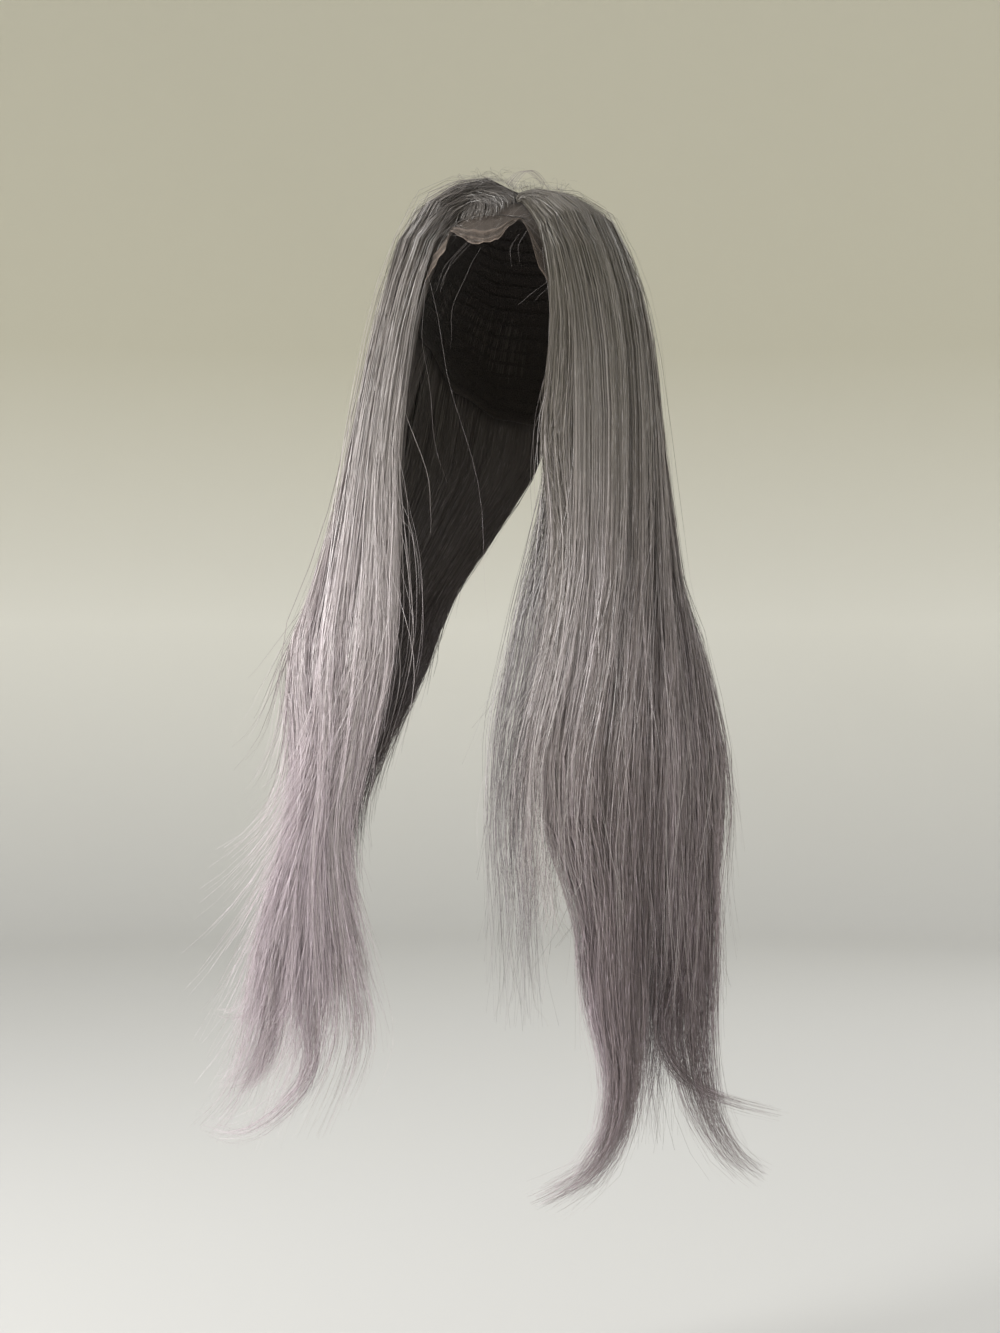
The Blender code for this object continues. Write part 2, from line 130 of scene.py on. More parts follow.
PARTING: Table = (
    # share, x, y
    (0.00, 0.0150, -0.0420),
    (0.20, 0.0085, -0.0150),
    (0.45, 0.0010, 0.0220),
    (0.70, 0.0000, 0.0520),
    (1.00, 0.0000, 0.0790),
)
SIDE_SEAM = 0.60
BELT_TURN: Table = ((0.00, 41.0), (SIDE_SEAM, 115.0), (1.00, 179.6))
CROWN_DEPTH: Table = (
    # share of the way down, left depth, right depth
    (0.00, 0.0040, 0.0035),
    (0.16, 0.0120, 0.0070),
    (0.35, 0.0155, 0.0130),
    (0.55, 0.0185, 0.0180),
    (0.75, 0.0205, 0.0205),
    (1.00, 0.0215, 0.0215),
)
SWEEP_REACH = 0.55

CURTAIN_LEFT: Table = (
    # z, first x, first y, middle x, middle y, last x, last y, depth
    (-0.10, -0.053, -0.077, -0.101, -0.020, -0.095, 0.045, 0.021),
    (-0.18, -0.061, -0.088, -0.114, -0.035, -0.105, 0.034, 0.024),
    (-0.26, -0.060, -0.100, -0.118, -0.066, -0.124, 0.000, 0.026),
    (-0.34, -0.057, -0.120, -0.122, -0.112, -0.148, -0.056, 0.026),
    (-0.42, -0.074, -0.135, -0.110, -0.136, -0.136, -0.092, 0.025),
    (-0.46, -0.086, -0.134, -0.112, -0.137, -0.132, -0.104, 0.023),
    (-0.50, -0.087, -0.128, -0.120, -0.131, -0.149, -0.098, 0.021),
    (-0.56, -0.079, -0.124, -0.124, -0.125, -0.171, -0.092, 0.018),
    (-0.62, -0.075, -0.119, -0.130, -0.120, -0.184, -0.088, 0.014),
    (-0.70, -0.112, -0.117, -0.158, -0.118, -0.202, -0.088, 0.009),
)
CURTAIN_RIGHT: Table = (
    # z, first x, first y, middle x, middle y, last x, last y, depth
    (-0.10, 0.052, -0.077, 0.101, -0.020, 0.095, 0.045, 0.021),
    (-0.18, 0.047, -0.089, 0.107, -0.034, 0.102, 0.036, 0.024),
    (-0.26, 0.057, -0.104, 0.112, -0.066, 0.120, 0.004, 0.026),
    (-0.34, 0.056, -0.125, 0.117, -0.114, 0.156, -0.055, 0.027),
    (-0.42, 0.046, -0.146, 0.118, -0.150, 0.178, -0.092, 0.026),
    (-0.50, 0.050, -0.149, 0.118, -0.150, 0.177, -0.106, 0.023),
    (-0.60, 0.078, -0.140, 0.126, -0.140, 0.176, -0.102, 0.017),
)
NAPE_LEFT: Table = (
    # z, first x, first y, middle x, middle y, last x, last y, depth
    (-0.10, -0.0955, 0.0460, -0.056, 0.0995, -0.0006, 0.118, 0.019),
    (-0.18, -0.100, 0.043, -0.060, 0.088, -0.0006, 0.103, 0.020),
    (-0.24, -0.113, 0.020, -0.084, 0.062, -0.030, 0.082, 0.023),
    (-0.30, -0.130, -0.016, -0.098, 0.018, -0.054, 0.028, 0.024),
    (-0.35, -0.140, -0.048, -0.100, -0.036, -0.052, -0.040, 0.022),
    (-0.40, -0.132, -0.068, -0.100, -0.070, -0.067, -0.076, 0.018),
    (-0.46, -0.120, -0.080, -0.104, -0.083, -0.090, -0.085, 0.014),
    (-0.54, -0.126, -0.078, -0.110, -0.081, -0.094, -0.083, 0.012),
)
NAPE_RIGHT: Table = (
    # z, first x, first y, middle x, middle y, last x, last y, depth
    (-0.10, 0.0955, 0.0460, 0.056, 0.0995, 0.0006, 0.118, 0.019),
    (-0.18, 0.098, 0.045, 0.060, 0.088, 0.0006, 0.103, 0.020),
    (-0.24, 0.108, 0.023, 0.082, 0.062, 0.030, 0.082, 0.023),
    (-0.30, 0.129, -0.012, 0.100, 0.020, 0.056, 0.028, 0.024),
    (-0.35, 0.149, -0.046, 0.100, -0.038, 0.044, -0.048, 0.022),
    (-0.40, 0.158, -0.068, 0.094, -0.078, 0.028, -0.096, 0.018),
    (-0.48, 0.158, -0.082, 0.090, -0.094, 0.024, -0.110, 0.016),
    (-0.64, 0.150, -0.080, 0.090, -0.094, 0.036, -0.110, 0.012),
)
TIPS: dict[str, Table] = {
    # share, level of the tips
    "curtain_left": (
        (0.0, -0.640), (0.15, -0.672), (0.3, -0.655), (0.45, -0.690), (0.6, -0.662), (0.75, -0.684),
        (0.9, -0.650), (1.0, -0.625),
    ),
    "curtain_right": (
        (0.0, -0.480), (0.12, -0.520), (0.25, -0.485), (0.4, -0.560), (0.55, -0.545), (0.7, -0.555),
        (0.88, -0.590), (1.0, -0.565),
    ),
    "nape_fall_left": ((0.0, -0.520), (0.35, -0.548), (0.7, -0.522), (1.0, -0.505)),
    "nape_fall_right": (
        (0.0, -0.600), (0.2, -0.640), (0.4, -0.590), (0.6, -0.608), (0.8, -0.560), (0.9, -0.588),
        (1.0, -0.545),
    ),
}
FRONT_LOCK: Table = (
    # x, y, z, width, depth
    (0.112, -0.138, -0.440, 0.030, 0.014),
    (0.111, -0.139, -0.500, 0.044, 0.018),
    (0.109, -0.138, -0.550, 0.048, 0.019),
    (0.111, -0.135, -0.590, 0.040, 0.019),
    (0.114, -0.133, -0.630, 0.024, 0.016),
    (0.108, -0.133, -0.668, 0.018, 0.013),
    (0.088, -0.135, -0.700, 0.013, 0.010),
    (0.053, -0.139, -0.719, 0.004, 0.004),
)
OUTER_LOCK: Table = (
    # x, y, z, width, depth
    (0.158, -0.112, -0.440, 0.026, 0.012),
    (0.158, -0.111, -0.520, 0.036, 0.016),
    (0.156, -0.108, -0.580, 0.038, 0.017),
    (0.157, -0.104, -0.620, 0.034, 0.015),
    (0.166, -0.101, -0.658, 0.023, 0.012),
    (0.184, -0.100, -0.688, 0.012, 0.008),
    (0.205, -0.100, -0.702, 0.004, 0.004),
)
OUTER_SWOOP: Table = (
    # x, y, z, width, depth
    (0.150, -0.112, -0.480, 0.030, 0.010),
    (0.142, -0.112, -0.560, 0.026, 0.010),
    (0.138, -0.110, -0.605, 0.016, 0.008),
    (0.152, -0.108, -0.633, 0.010, 0.006),
    (0.182, -0.106, -0.648, 0.008, 0.005),
    (0.219, -0.104, -0.656, 0.006, 0.003),
)
SHADED_LOCK: Table = (
    # x, y, z, width, depth
    (0.127, -0.090, -0.540, 0.020, 0.009),
    (0.127, -0.091, -0.600, 0.026, 0.010),
    (0.126, -0.091, -0.645, 0.018, 0.008),
    (0.124, -0.091, -0.688, 0.004, 0.004),
)
LEFT_SWOOP: Table = (
    # x, y, z, width, depth
    (-0.128, -0.112, -0.540, 0.024, 0.008),
    (-0.119, -0.112, -0.605, 0.016, 0.007),
    (-0.121, -0.110, -0.643, 0.012, 0.006),
    (-0.150, -0.106, -0.676, 0.009, 0.005),
    (-0.179, -0.103, -0.691, 0.006, 0.004),
    (-0.203, -0.100, -0.687, 0.004, 0.003),
)
UPPER_ARC: Table = (
    # x, y, z, width, depth
    (-0.150, -0.098, -0.500, 0.024, 0.008),
    (-0.150, -0.097, -0.560, 0.018, 0.007),
    (-0.157, -0.095, -0.590, 0.013, 0.006),
    (-0.171, -0.093, -0.607, 0.009, 0.005),
    (-0.186, -0.092, -0.606, 0.006, 0.003),
)
LOWER_ARC: Table = (
    # x, y, z, width, depth
    (-0.155, -0.098, -0.540, 0.024, 0.008),
    (-0.152, -0.097, -0.603, 0.018, 0.007),
    (-0.158, -0.096, -0.632, 0.013, 0.006),
    (-0.171, -0.094, -0.652, 0.009, 0.005),
    (-0.188, -0.092, -0.658, 0.006, 0.003),
)
CURLED_TIPS: Table = (
    # x, y, z, width, depth
    (-0.152, -0.102, -0.580, 0.024, 0.010),
    (-0.164, -0.099, -0.625, 0.028, 0.011),
    (-0.180, -0.096, -0.662, 0.018, 0.008),
    (-0.206, -0.094, -0.696, 0.004, 0.004),
)


class Side(Enum):
    """Side of the parting, as seen from the front."""

    LEFT = -1
    RIGHT = 1


class Fall(Enum):
    """Kind of a body of hair."""

    CURTAIN = "curtain"
    NAPE = "nape"


class Held(Enum):
    """How a sheet of cloth is held."""

    STRETCHED = "stretched"


HAIRLINE: Table = (
    # turn, drop where the hair starts on the lace
    (-44, 66), (-40, 58), (-38, 50), (-26, 45), (-4, 46), (7, 43), (16, 36), (22, 32), (31, 32),
    (39, 43), (44, 56),
)
FRONT_SWEEP = {Side.LEFT: (-30.0, 33.0), Side.RIGHT: (36.0, 44.0)}


def ease(share: Array | float) -> Array:
    """Smooth step from 0 to 1.

    Args:
        share: place between 0 and 1, clipped to that range.

    Returns:
        The eased place.
    """
    share = np.clip(share, 0.0, 1.0)
    return share * share * (3 - 2 * share)


def read(table: Table, at: Array | float, column: int, smooth: bool = False) -> Array:
    """Reads a column between the rows of a table whose first column rises.

    Args:
        table: rows with the place in their first column.
        at: places to read.
        column: column to read.
        smooth: eases between rows in place of a straight line.

    Returns:
        The values at those places.
    """
    rows = np.asarray(table, float)
    row = np.clip(np.searchsorted(rows[:, 0], at) - 1, 0, len(rows) - 2)
    share = np.clip((at - rows[row, 0]) / (rows[row + 1, 0] - rows[row, 0]), 0, 1)
    share = ease(share) if smooth else share
    return rows[row, column] + (rows[row + 1, column] - rows[row, column]) * share


def read_curve(keys: Array, values: Array, at: Array, beyond: float = 1.0) -> Array:
    """Reads values on a smooth curve through rows whose keys rise.

    Args:
        keys: key of each row.
        values: a value or a row of values for each key.
        at: places to read.
        beyond: how far past the last row the curve may be followed, in spans.

    Returns:
        The values, with the shape of the places and then of one row.
    """
    slopes = np.empty_like(values)
    slopes[1:-1] = ((values[2:] - values[:-2]).T / (keys[2:] - keys[:-2])).T
    slopes[0] = (values[1] - values[0]) / (keys[1] - keys[0])
    slopes[-1] = (values[-1] - values[-2]) / (keys[-1] - keys[-2])
    row = np.clip(np.searchsorted(keys, at) - 1, 0, len(keys) - 2)
    span = keys[row + 1] - keys[row]
    share = np.clip((at - keys[row]) / span, 0.0, beyond)
    if values.ndim > 1:
        share, span = share[..., None], span[..., None]
    square, cube = share**2, share**3
    return (
        (2 * cube - 3 * square + 1) * values[row]
        + (cube - 2 * square + share) * span * slopes[row]
        + (3 * square - 2 * cube) * values[row + 1]
        + (cube - square) * span * slopes[row + 1]
    )


def unit(vectors: Array) -> Array:
    """The same directions with length 1."""
    return vectors / np.maximum(np.linalg.norm(vectors, axis=-1, keepdims=True), 1e-9)


def toward(turn: Array | float, drop: Array | float) -> Array:
    """Direction on the unit ball.

    Args:
        turn: degrees from the front.
        drop: degrees from the top.

    Returns:
        Unit vectors.
    """
    turn, drop = np.broadcast_arrays(np.radians(turn), np.radians(drop))
    return np.stack((np.sin(drop) * np.sin(turn), -np.sin(drop) * np.cos(turn), np.cos(drop)), -1)


def on_head(direction: Array, out: Array | float) -> Array:
    """Points outside the head form.

    Args:
        direction: unit vectors.
        out: distance outside the head form.

    Returns:
        The points.
    """
    points = direction * (HEAD_HALVES + np.asarray(out)[..., None])
    points[..., 2] -= HEAD_RISE
    return points


def clear_of_head(points: Array, out: Array | float) -> Array:
    """Moves points out along their rays until they are clear of the head form.

    Args:
        points: points to move.
        out: least distance outside the head form.

    Returns:
        The points, moved where they lay too deep.
    """
    from_centre = points - HEAD_CENTRE
    ratio = np.linalg.norm(from_centre / (HEAD_HALVES + np.asarray(out)[..., None]), axis=-1)
    ratio = np.where((points[..., 2] < CHIN_LEVEL) | (ratio >= 1), 1.0, ratio)
    return HEAD_CENTRE + from_centre / ratio[..., None]


def root_direction(share: Array, side: Side) -> Array:
    """Where on the parting and crown line a hair grows.

    Args:
        share: place along the crown line, front to back.
        side: side of the parting.

    Returns:
        Unit vectors.
    """
    x = (read(PARTING, share, 1, smooth=True) + side.value * PART_GAP) / HEAD_HALVES[0]
    y = read(PARTING, share, 2) / HEAD_HALVES[1]
    return np.stack((x, y, np.sqrt(1 - x * x - y * y)), -1)


def crown_direction(share: Array, way: Array, side: Side, sweep: Array) -> Array:
    """Direction of a hair on its way over the head.

    Args:
        share: place of its root along the crown line.
        way: share of the way from the root to the widest level.
        side: side of the parting.
        sweep: how much it follows the swept front edge.

    Returns:
        Unit vectors.
    """
    root = root_direction(share, side)
    belt = toward(side.value * read(BELT_TURN, share, 1), 90.0)
    swept = toward(*FRONT_SWEEP[side])
    middle = unit(root + belt)
    via = unit(middle + (swept - middle) * sweep[..., None]) * 1.15
    way = way[..., None]
    return unit(root * (1 - way) ** 2 + via * 2 * way * (1 - way) + belt * way**2)


@dataclass
class Strands:
    """Hairs with the same number of points each.

    Attributes:
        points: hairs x points x 3.
        outs: way that the flat of each hair faces, same shape.
        widths: width at each point.
        tones: lightness of each hair, from 0 to 1.
        alongs: distance from the root at each point, as a share of the longest hair.
    """

    points: Array
    outs: Array
    widths: Array
    tones: Array
    alongs: Array


def tilted(points: Array, outs: Array, rng: Random, spread: float) -> Array:
    """Turns the flat of each hair a little about its own line.

    Args:
        points: points of the hairs.
        outs: way out of the body of hair at each point.
        rng: source of the turns.
        spread: usual turn, as a slope.

    Returns:
        The way that each point's flat faces.
    """
    along = unit(np.gradient(points, axis=1))
    across = np.cross(along, outs)
    return unit(outs + across * rng.normal(0, spread, len(points))[:, None, None])


def lengths_of(points: Array) -> Array:
    """Distance along each hair at each of its points."""
    steps = np.linalg.norm(np.diff(points, axis=1), axis=-1)
    return np.concatenate((np.zeros((len(points), 1)), np.cumsum(steps, axis=1)), axis=1)


class StrandTree:
    """Geometry Nodes tree that turns guide lines into flat ribbons of hair."""

    def __init__(self) -> None:
        """Builds the tree with its named inputs."""
        tree = bpy.data.node_groups.new("hair_ribbons", "GeometryNodeTree")
        for name, kind in (
            ("Guides", "NodeSocketGeometry"),
            ("Thickness", "NodeSocketFloat"),
            ("Finish", "NodeSocketMaterial"),
        ):
            tree.interface.new_socket(name, in_out="INPUT", socket_type=kind)
        tree.interface.new_socket("Hair", in_out="OUTPUT", socket_type="NodeSocketGeometry")
        self.tree = tree
        add, join = tree.nodes.new, tree.links.new
        given, made = add("NodeGroupInput"), add("NodeGroupOutput")
        curves = add("GeometryNodeMeshToCurve")
        facing = add("GeometryNodeSetCurveNormal")
        facing.mode = "FREE"
        line = add("GeometryNodeCurvePrimitiveLine")
        line.inputs["Start"].default_value = (0.0, -0.5, 0.0)
        line.inputs["End"].default_value = (0.0, 0.5, 0.0)
        place = add("GeometryNodeSplineParameter")
        across = add("GeometryNodeStoreNamedAttribute")
        across.inputs["Name"].default_value = "across"
        sweep = add("GeometryNodeCurveToMesh")
        scale = add("ShaderNodeMath")
        scale.operation = "MULTIPLY"
        plane = add("ShaderNodeCombineXYZ")
        chart = add("GeometryNodeStoreNamedAttribute")
        chart.data_type, chart.domain = "FLOAT2", "CORNER"
        chart.inputs["Name"].default_value = "strand_map"
        smooth = add("GeometryNodeSetShadeSmooth")
        solid = add("GeometryNodeRealizeInstances")
        paint = add("GeometryNodeSetMaterial")
        join(given.outputs["Guides"], curves.inputs["Mesh"])
        join(curves.outputs["Curve"], facing.inputs["Curve"])
        join(self.named("out", "FLOAT_VECTOR"), facing.inputs["Normal"])
        join(facing.outputs["Curve"], sweep.inputs["Curve"])
        join(line.outputs["Curve"], across.inputs["Geometry"])
        join(place.outputs["Factor"], across.inputs["Value"])
        join(across.outputs["Geometry"], sweep.inputs["Profile Curve"])
        join(self.named("wide", "FLOAT"), scale.inputs[0])
        join(given.outputs["Thickness"], scale.inputs[1])
        join(scale.outputs["Value"], sweep.inputs["Scale"])
        join(self.named("across", "FLOAT"), plane.inputs["X"])
        join(self.named("along", "FLOAT"), plane.inputs["Y"])
        join(sweep.outputs["Mesh"], chart.inputs["Geometry"])
        join(plane.outputs["Vector"], chart.inputs["Value"])
        join(chart.outputs["Geometry"], smooth.inputs["Geometry"])
        join(smooth.outputs["Geometry"], solid.inputs["Geometry"])
        join(solid.outputs["Geometry"], paint.inputs["Geometry"])
        join(given.outputs["Finish"], paint.inputs["Material"])
        join(paint.outputs["Geometry"], made.inputs["Hair"])

    def named(self, name: str, kind: str) -> Socket:
        """Socket that gives a named attribute.

        Args:
            name: name of the attribute.
            kind: type of its data.

        Returns:
            The socket of the result.
        """
        node = self.tree.nodes.new("GeometryNodeInputNamedAttribute")
        node.data_type = kind
        node.inputs["Name"].default_value = name
        return next(s for s in node.outputs if s.name == "Attribute" and s.enabled)

    def weave(self, name: str, groups: list[Strands], finish: bpy.types.Material) -> bpy.types.Object:
        """Turns hairs into one plain mesh.

        Args:
            name: name of the piece.
            groups: hairs.
            finish: material of the hair.

        Returns:
            The finished piece, with no modifier left.
        """
        guide = bpy.data.objects.new(name + "_guide", guide_mesh(name + "_guide", groups))
        bpy.context.scene.collection.objects.link(guide)
        result = evaluate_tree(guide, self.tree, {"Thickness": 1.0, "Finish": finish})
        return finished_piece(name, result, finish)


def kept_in_reach(points: Array) -> Array:
    """Points kept within the reach that hair may have beyond the solids."""
    low, high = np.array(BOX_AT_LOAD[0]) - REACH, np.array(BOX_AT_LOAD[1]) + REACH
    return np.clip(points, low, high)


def guide_mesh(name: str, groups: list[Strands]) -> bpy.types.Mesh:
    """Loose edges along every hair, with the attributes that the tree reads.

    Args:
        name: name of the mesh.
        groups: hairs.

    Returns:
        The mesh.
    """
    edges, start = [], 0
    for group in groups:
        count, points = group.points.shape[:2]
        first = start + np.arange(count)[:, None] * points + np.arange(points - 1)[None, :]
        edges.append(np.stack((first, first + 1), -1).reshape(-1, 2))
        start += count * points
    corners = np.concatenate(edges)
    mesh = bpy.data.meshes.new(name)
    mesh.vertices.add(start)
    mesh.edges.add(len(corners))
    mesh.edges.foreach_set("vertices", corners.ravel().astype(np.int32))
    places = kept_in_reach(np.concatenate([g.points.reshape(-1, 3) for g in groups]))
    mesh.vertices.foreach_set("co", places.ravel().astype(np.float32))
    outs = np.concatenate([g.outs.reshape(-1, 3) for g in groups])
    mesh.attributes.new("out", "FLOAT_VECTOR", "POINT").data.foreach_set("vector", outs.ravel())
    for label, values in (
        ("wide", [g.widths for g in groups]),
        ("tone", [np.repeat(g.tones[:, None], g.points.shape[1], 1) for g in groups]),
        ("along", [g.alongs for g in groups]),
    ):
        flat = np.concatenate([v.ravel() for v in values])
        mesh.attributes.new(label, "FLOAT", "POINT").data.foreach_set("value", flat)
    mesh.update()
    return mesh


def evaluate_tree(
    carrier: bpy.types.Object, tree: bpy.types.NodeTree, inputs: dict[str, object]
) -> bpy.types.Mesh:
    """Runs a Geometry Nodes tree on an object and keeps its result as a plain mesh.

    Args:
        carrier: object that the tree works on, removed afterwards.
        tree: the tree.
        inputs: values for its named inputs.

    Returns:
        The resulting mesh.
    """
    work = carrier.modifiers.new("tree", "NODES")
    work.node_group = tree
    for socket in tree.interface.items_tree:
        if socket.item_type == "SOCKET" and socket.in_out == "INPUT" and socket.name in inputs:
            work[socket.identifier] = inputs[socket.name]
    graph = bpy.context.evaluated_depsgraph_get()
    mesh = bpy.data.meshes.new_from_object(carrier.evaluated_get(graph), depsgraph=graph)
    old = carrier.data
    bpy.data.objects.remove(carrier)
    bpy.data.meshes.remove(old)
    return mesh


def mesh_from(model: bmesh.types.BMesh, name: str) -> bpy.types.Mesh:
    """Smooth mesh made from a model, which is freed.

    Args:
        model: the model.
        name: name of the mesh.

    Returns:
        The mesh.
    """
    for face in model.faces:
        face.smooth = True
    mesh = bpy.data.meshes.new(name)
    model.to_mesh(mesh)
    model.free()
    return mesh


def finished_piece(name: str, mesh: bpy.types.Mesh, finish: bpy.types.Material) -> bpy.types.Object:
    """Links a mesh as a piece that rides on the wig.

    Args:
        name: name of the piece.
        mesh: its mesh.
        finish: its material.

    Returns:
        The piece.
    """
    mesh.name = name
    mesh.materials.clear()
    mesh.materials.append(finish)
    piece = bpy.data.objects.new(name, mesh)
    bpy.context.scene.collection.objects.link(piece)
    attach(piece, "root")
    LOG.info("%s: %d triangles", name, len(mesh.loops) - 2 * len(mesh.polygons))
    return piece


class Board:
    """Short way to lay out a material's nodes."""

    def __init__(self, name: str) -> None:
        """Starts a material with a Principled shader.

        Args:
            name: name of the material.
        """
        self.material = bpy.data.materials.new(name)
        self.material.use_nodes = True
        self.tree = self.material.node_tree
        self.shader = self.tree.nodes["Principled BSDF"]

    def add(self, kind: str, **settings: object) -> bpy.types.Node:
        """Adds a node and sets its properties.

        Args:
            kind: type of the node.
            settings: its properties.

        Returns:
            The node.
        """
        node = self.tree.nodes.new("ShaderNode" + kind)
        for key, value in settings.items():
            setattr(node, key, value)
        return node

    def join(self, out: Socket, into: Socket) -> None:
        """Links two sockets."""
        self.tree.links.new(out, into)

    def attribute(self, name: str) -> Socket:
        """Value of a named attribute of the mesh."""
        return self.add("Attribute", attribute_name=name).outputs["Fac"]

    def chart(self, name: str, scale: tuple[float, float, float]) -> Socket:
        """A UV map of the piece, scaled."""
        source = self.add("UVMap", uv_map=name).outputs["UV"]
        return self.scaled(source, scale)

    def place(self, scale: tuple[float, float, float]) -> Socket:
        """Object coordinates, scaled."""
        return self.scaled(self.add("TexCoord").outputs["Object"], scale)

    def scaled(self, source: Socket, scale: tuple[float, float, float]) -> Socket:
        """Coordinates passed through a Mapping node.

        Args:
            source: coordinates.
            scale: scale on each axis.

        Returns:
            The socket of the result.
        """
        mapping = self.add("Mapping")
        mapping.inputs["Scale"].default_value = scale
        self.join(source, mapping.inputs["Vector"])
        return mapping.outputs["Vector"]

    def noise(self, source: Socket, scale: float, detail: float = 3.0) -> Socket:
        """Noise at a scale.

        Args:
            source: coordinates.
            scale: its scale.
            detail: its detail.

        Returns:
            The socket of the result.
        """
        node = self.add("TexNoise")
        node.inputs["Scale"].default_value = scale
        node.inputs["Detail"].default_value = detail
        self.join(source, node.inputs["Vector"])
        return node.outputs["Fac"]

    def math(self, operation: str, *values: Socket | float) -> Socket:
        """Math node on sockets or numbers.

        Args:
            operation: what it does.
            values: its inputs.

        Returns:
            The socket of the result.
        """
        node = self.add("Math", operation=operation)
        for socket, value in zip(node.inputs, values):
            if isinstance(value, (int, float)):
                socket.default_value = value
            else:
                self.join(value, socket)
        return node.outputs["Value"]

    def span(self, source: Socket, low: float, high: float, start: float, end: float) -> Socket:
        """Map Range from low..high to start..end, clamped.

        Args:
            source: value.
            low: value at the start.
            high: value at the end.
            start: first result.
            end: last result.

        Returns:
            The socket of the result.
        """
        node = self.add("MapRange")
        for name, value in (("From Min", low), ("From Max", high), ("To Min", start), ("To Max", end)):
            node.inputs[name].default_value = value
        self.join(source, node.inputs["Value"])
        return node.outputs["Result"]

    def ramp(self, source: Socket, stops: list[tuple[float, Colour]]) -> Socket:
        """Colour ramp through the given stops.

        Args:
            source: place on the ramp.
            stops: place and colour.

        Returns:
            The socket of the result.
        """
        node = self.add("ValToRGB")
        band = node.color_ramp
        while len(band.elements) < len(stops):
            band.elements.new(0.5)
        for element, (place, colour) in zip(band.elements, stops):
            element.position = place
            element.color = (*colour, 1.0)
        self.join(source, node.inputs["Fac"])
        return node.outputs["Color"]

    def mix(
        self,
        share: Socket | float,
        first: Socket | Colour,
        second: Socket | Colour,
        blend: str = "MIX",
    ) -> Socket:
        """Mixes two colours.

        Args:
            share: part of the second.
            first: first colour.
            second: second colour.
            blend: way of mixing.

        Returns:
            The socket of the result.
        """
        node = self.add("Mix", data_type="RGBA", blend_type=blend)
        for socket, value in zip((node.inputs[0], node.inputs[6], node.inputs[7]), (share, first, second)):
            if isinstance(value, (int, float)):
                socket.default_value = value
            elif isinstance(value, tuple):
                socket.default_value = (*value, 1.0)
            else:
                self.join(value, socket)
        return node.outputs[2]

    def relief(self, height: Socket, distance: float, strength: float = 1.0) -> None:
        """Bump from a height.

        Args:
            height: height.
            distance: depth in metres.
            strength: its strength.
        """
        node = self.add("Bump")
        node.inputs["Distance"].default_value = distance
        node.inputs["Strength"].default_value = strength
        self.join(height, node.inputs["Height"])
        self.join(node.outputs["Normal"], self.shader.inputs["Normal"])


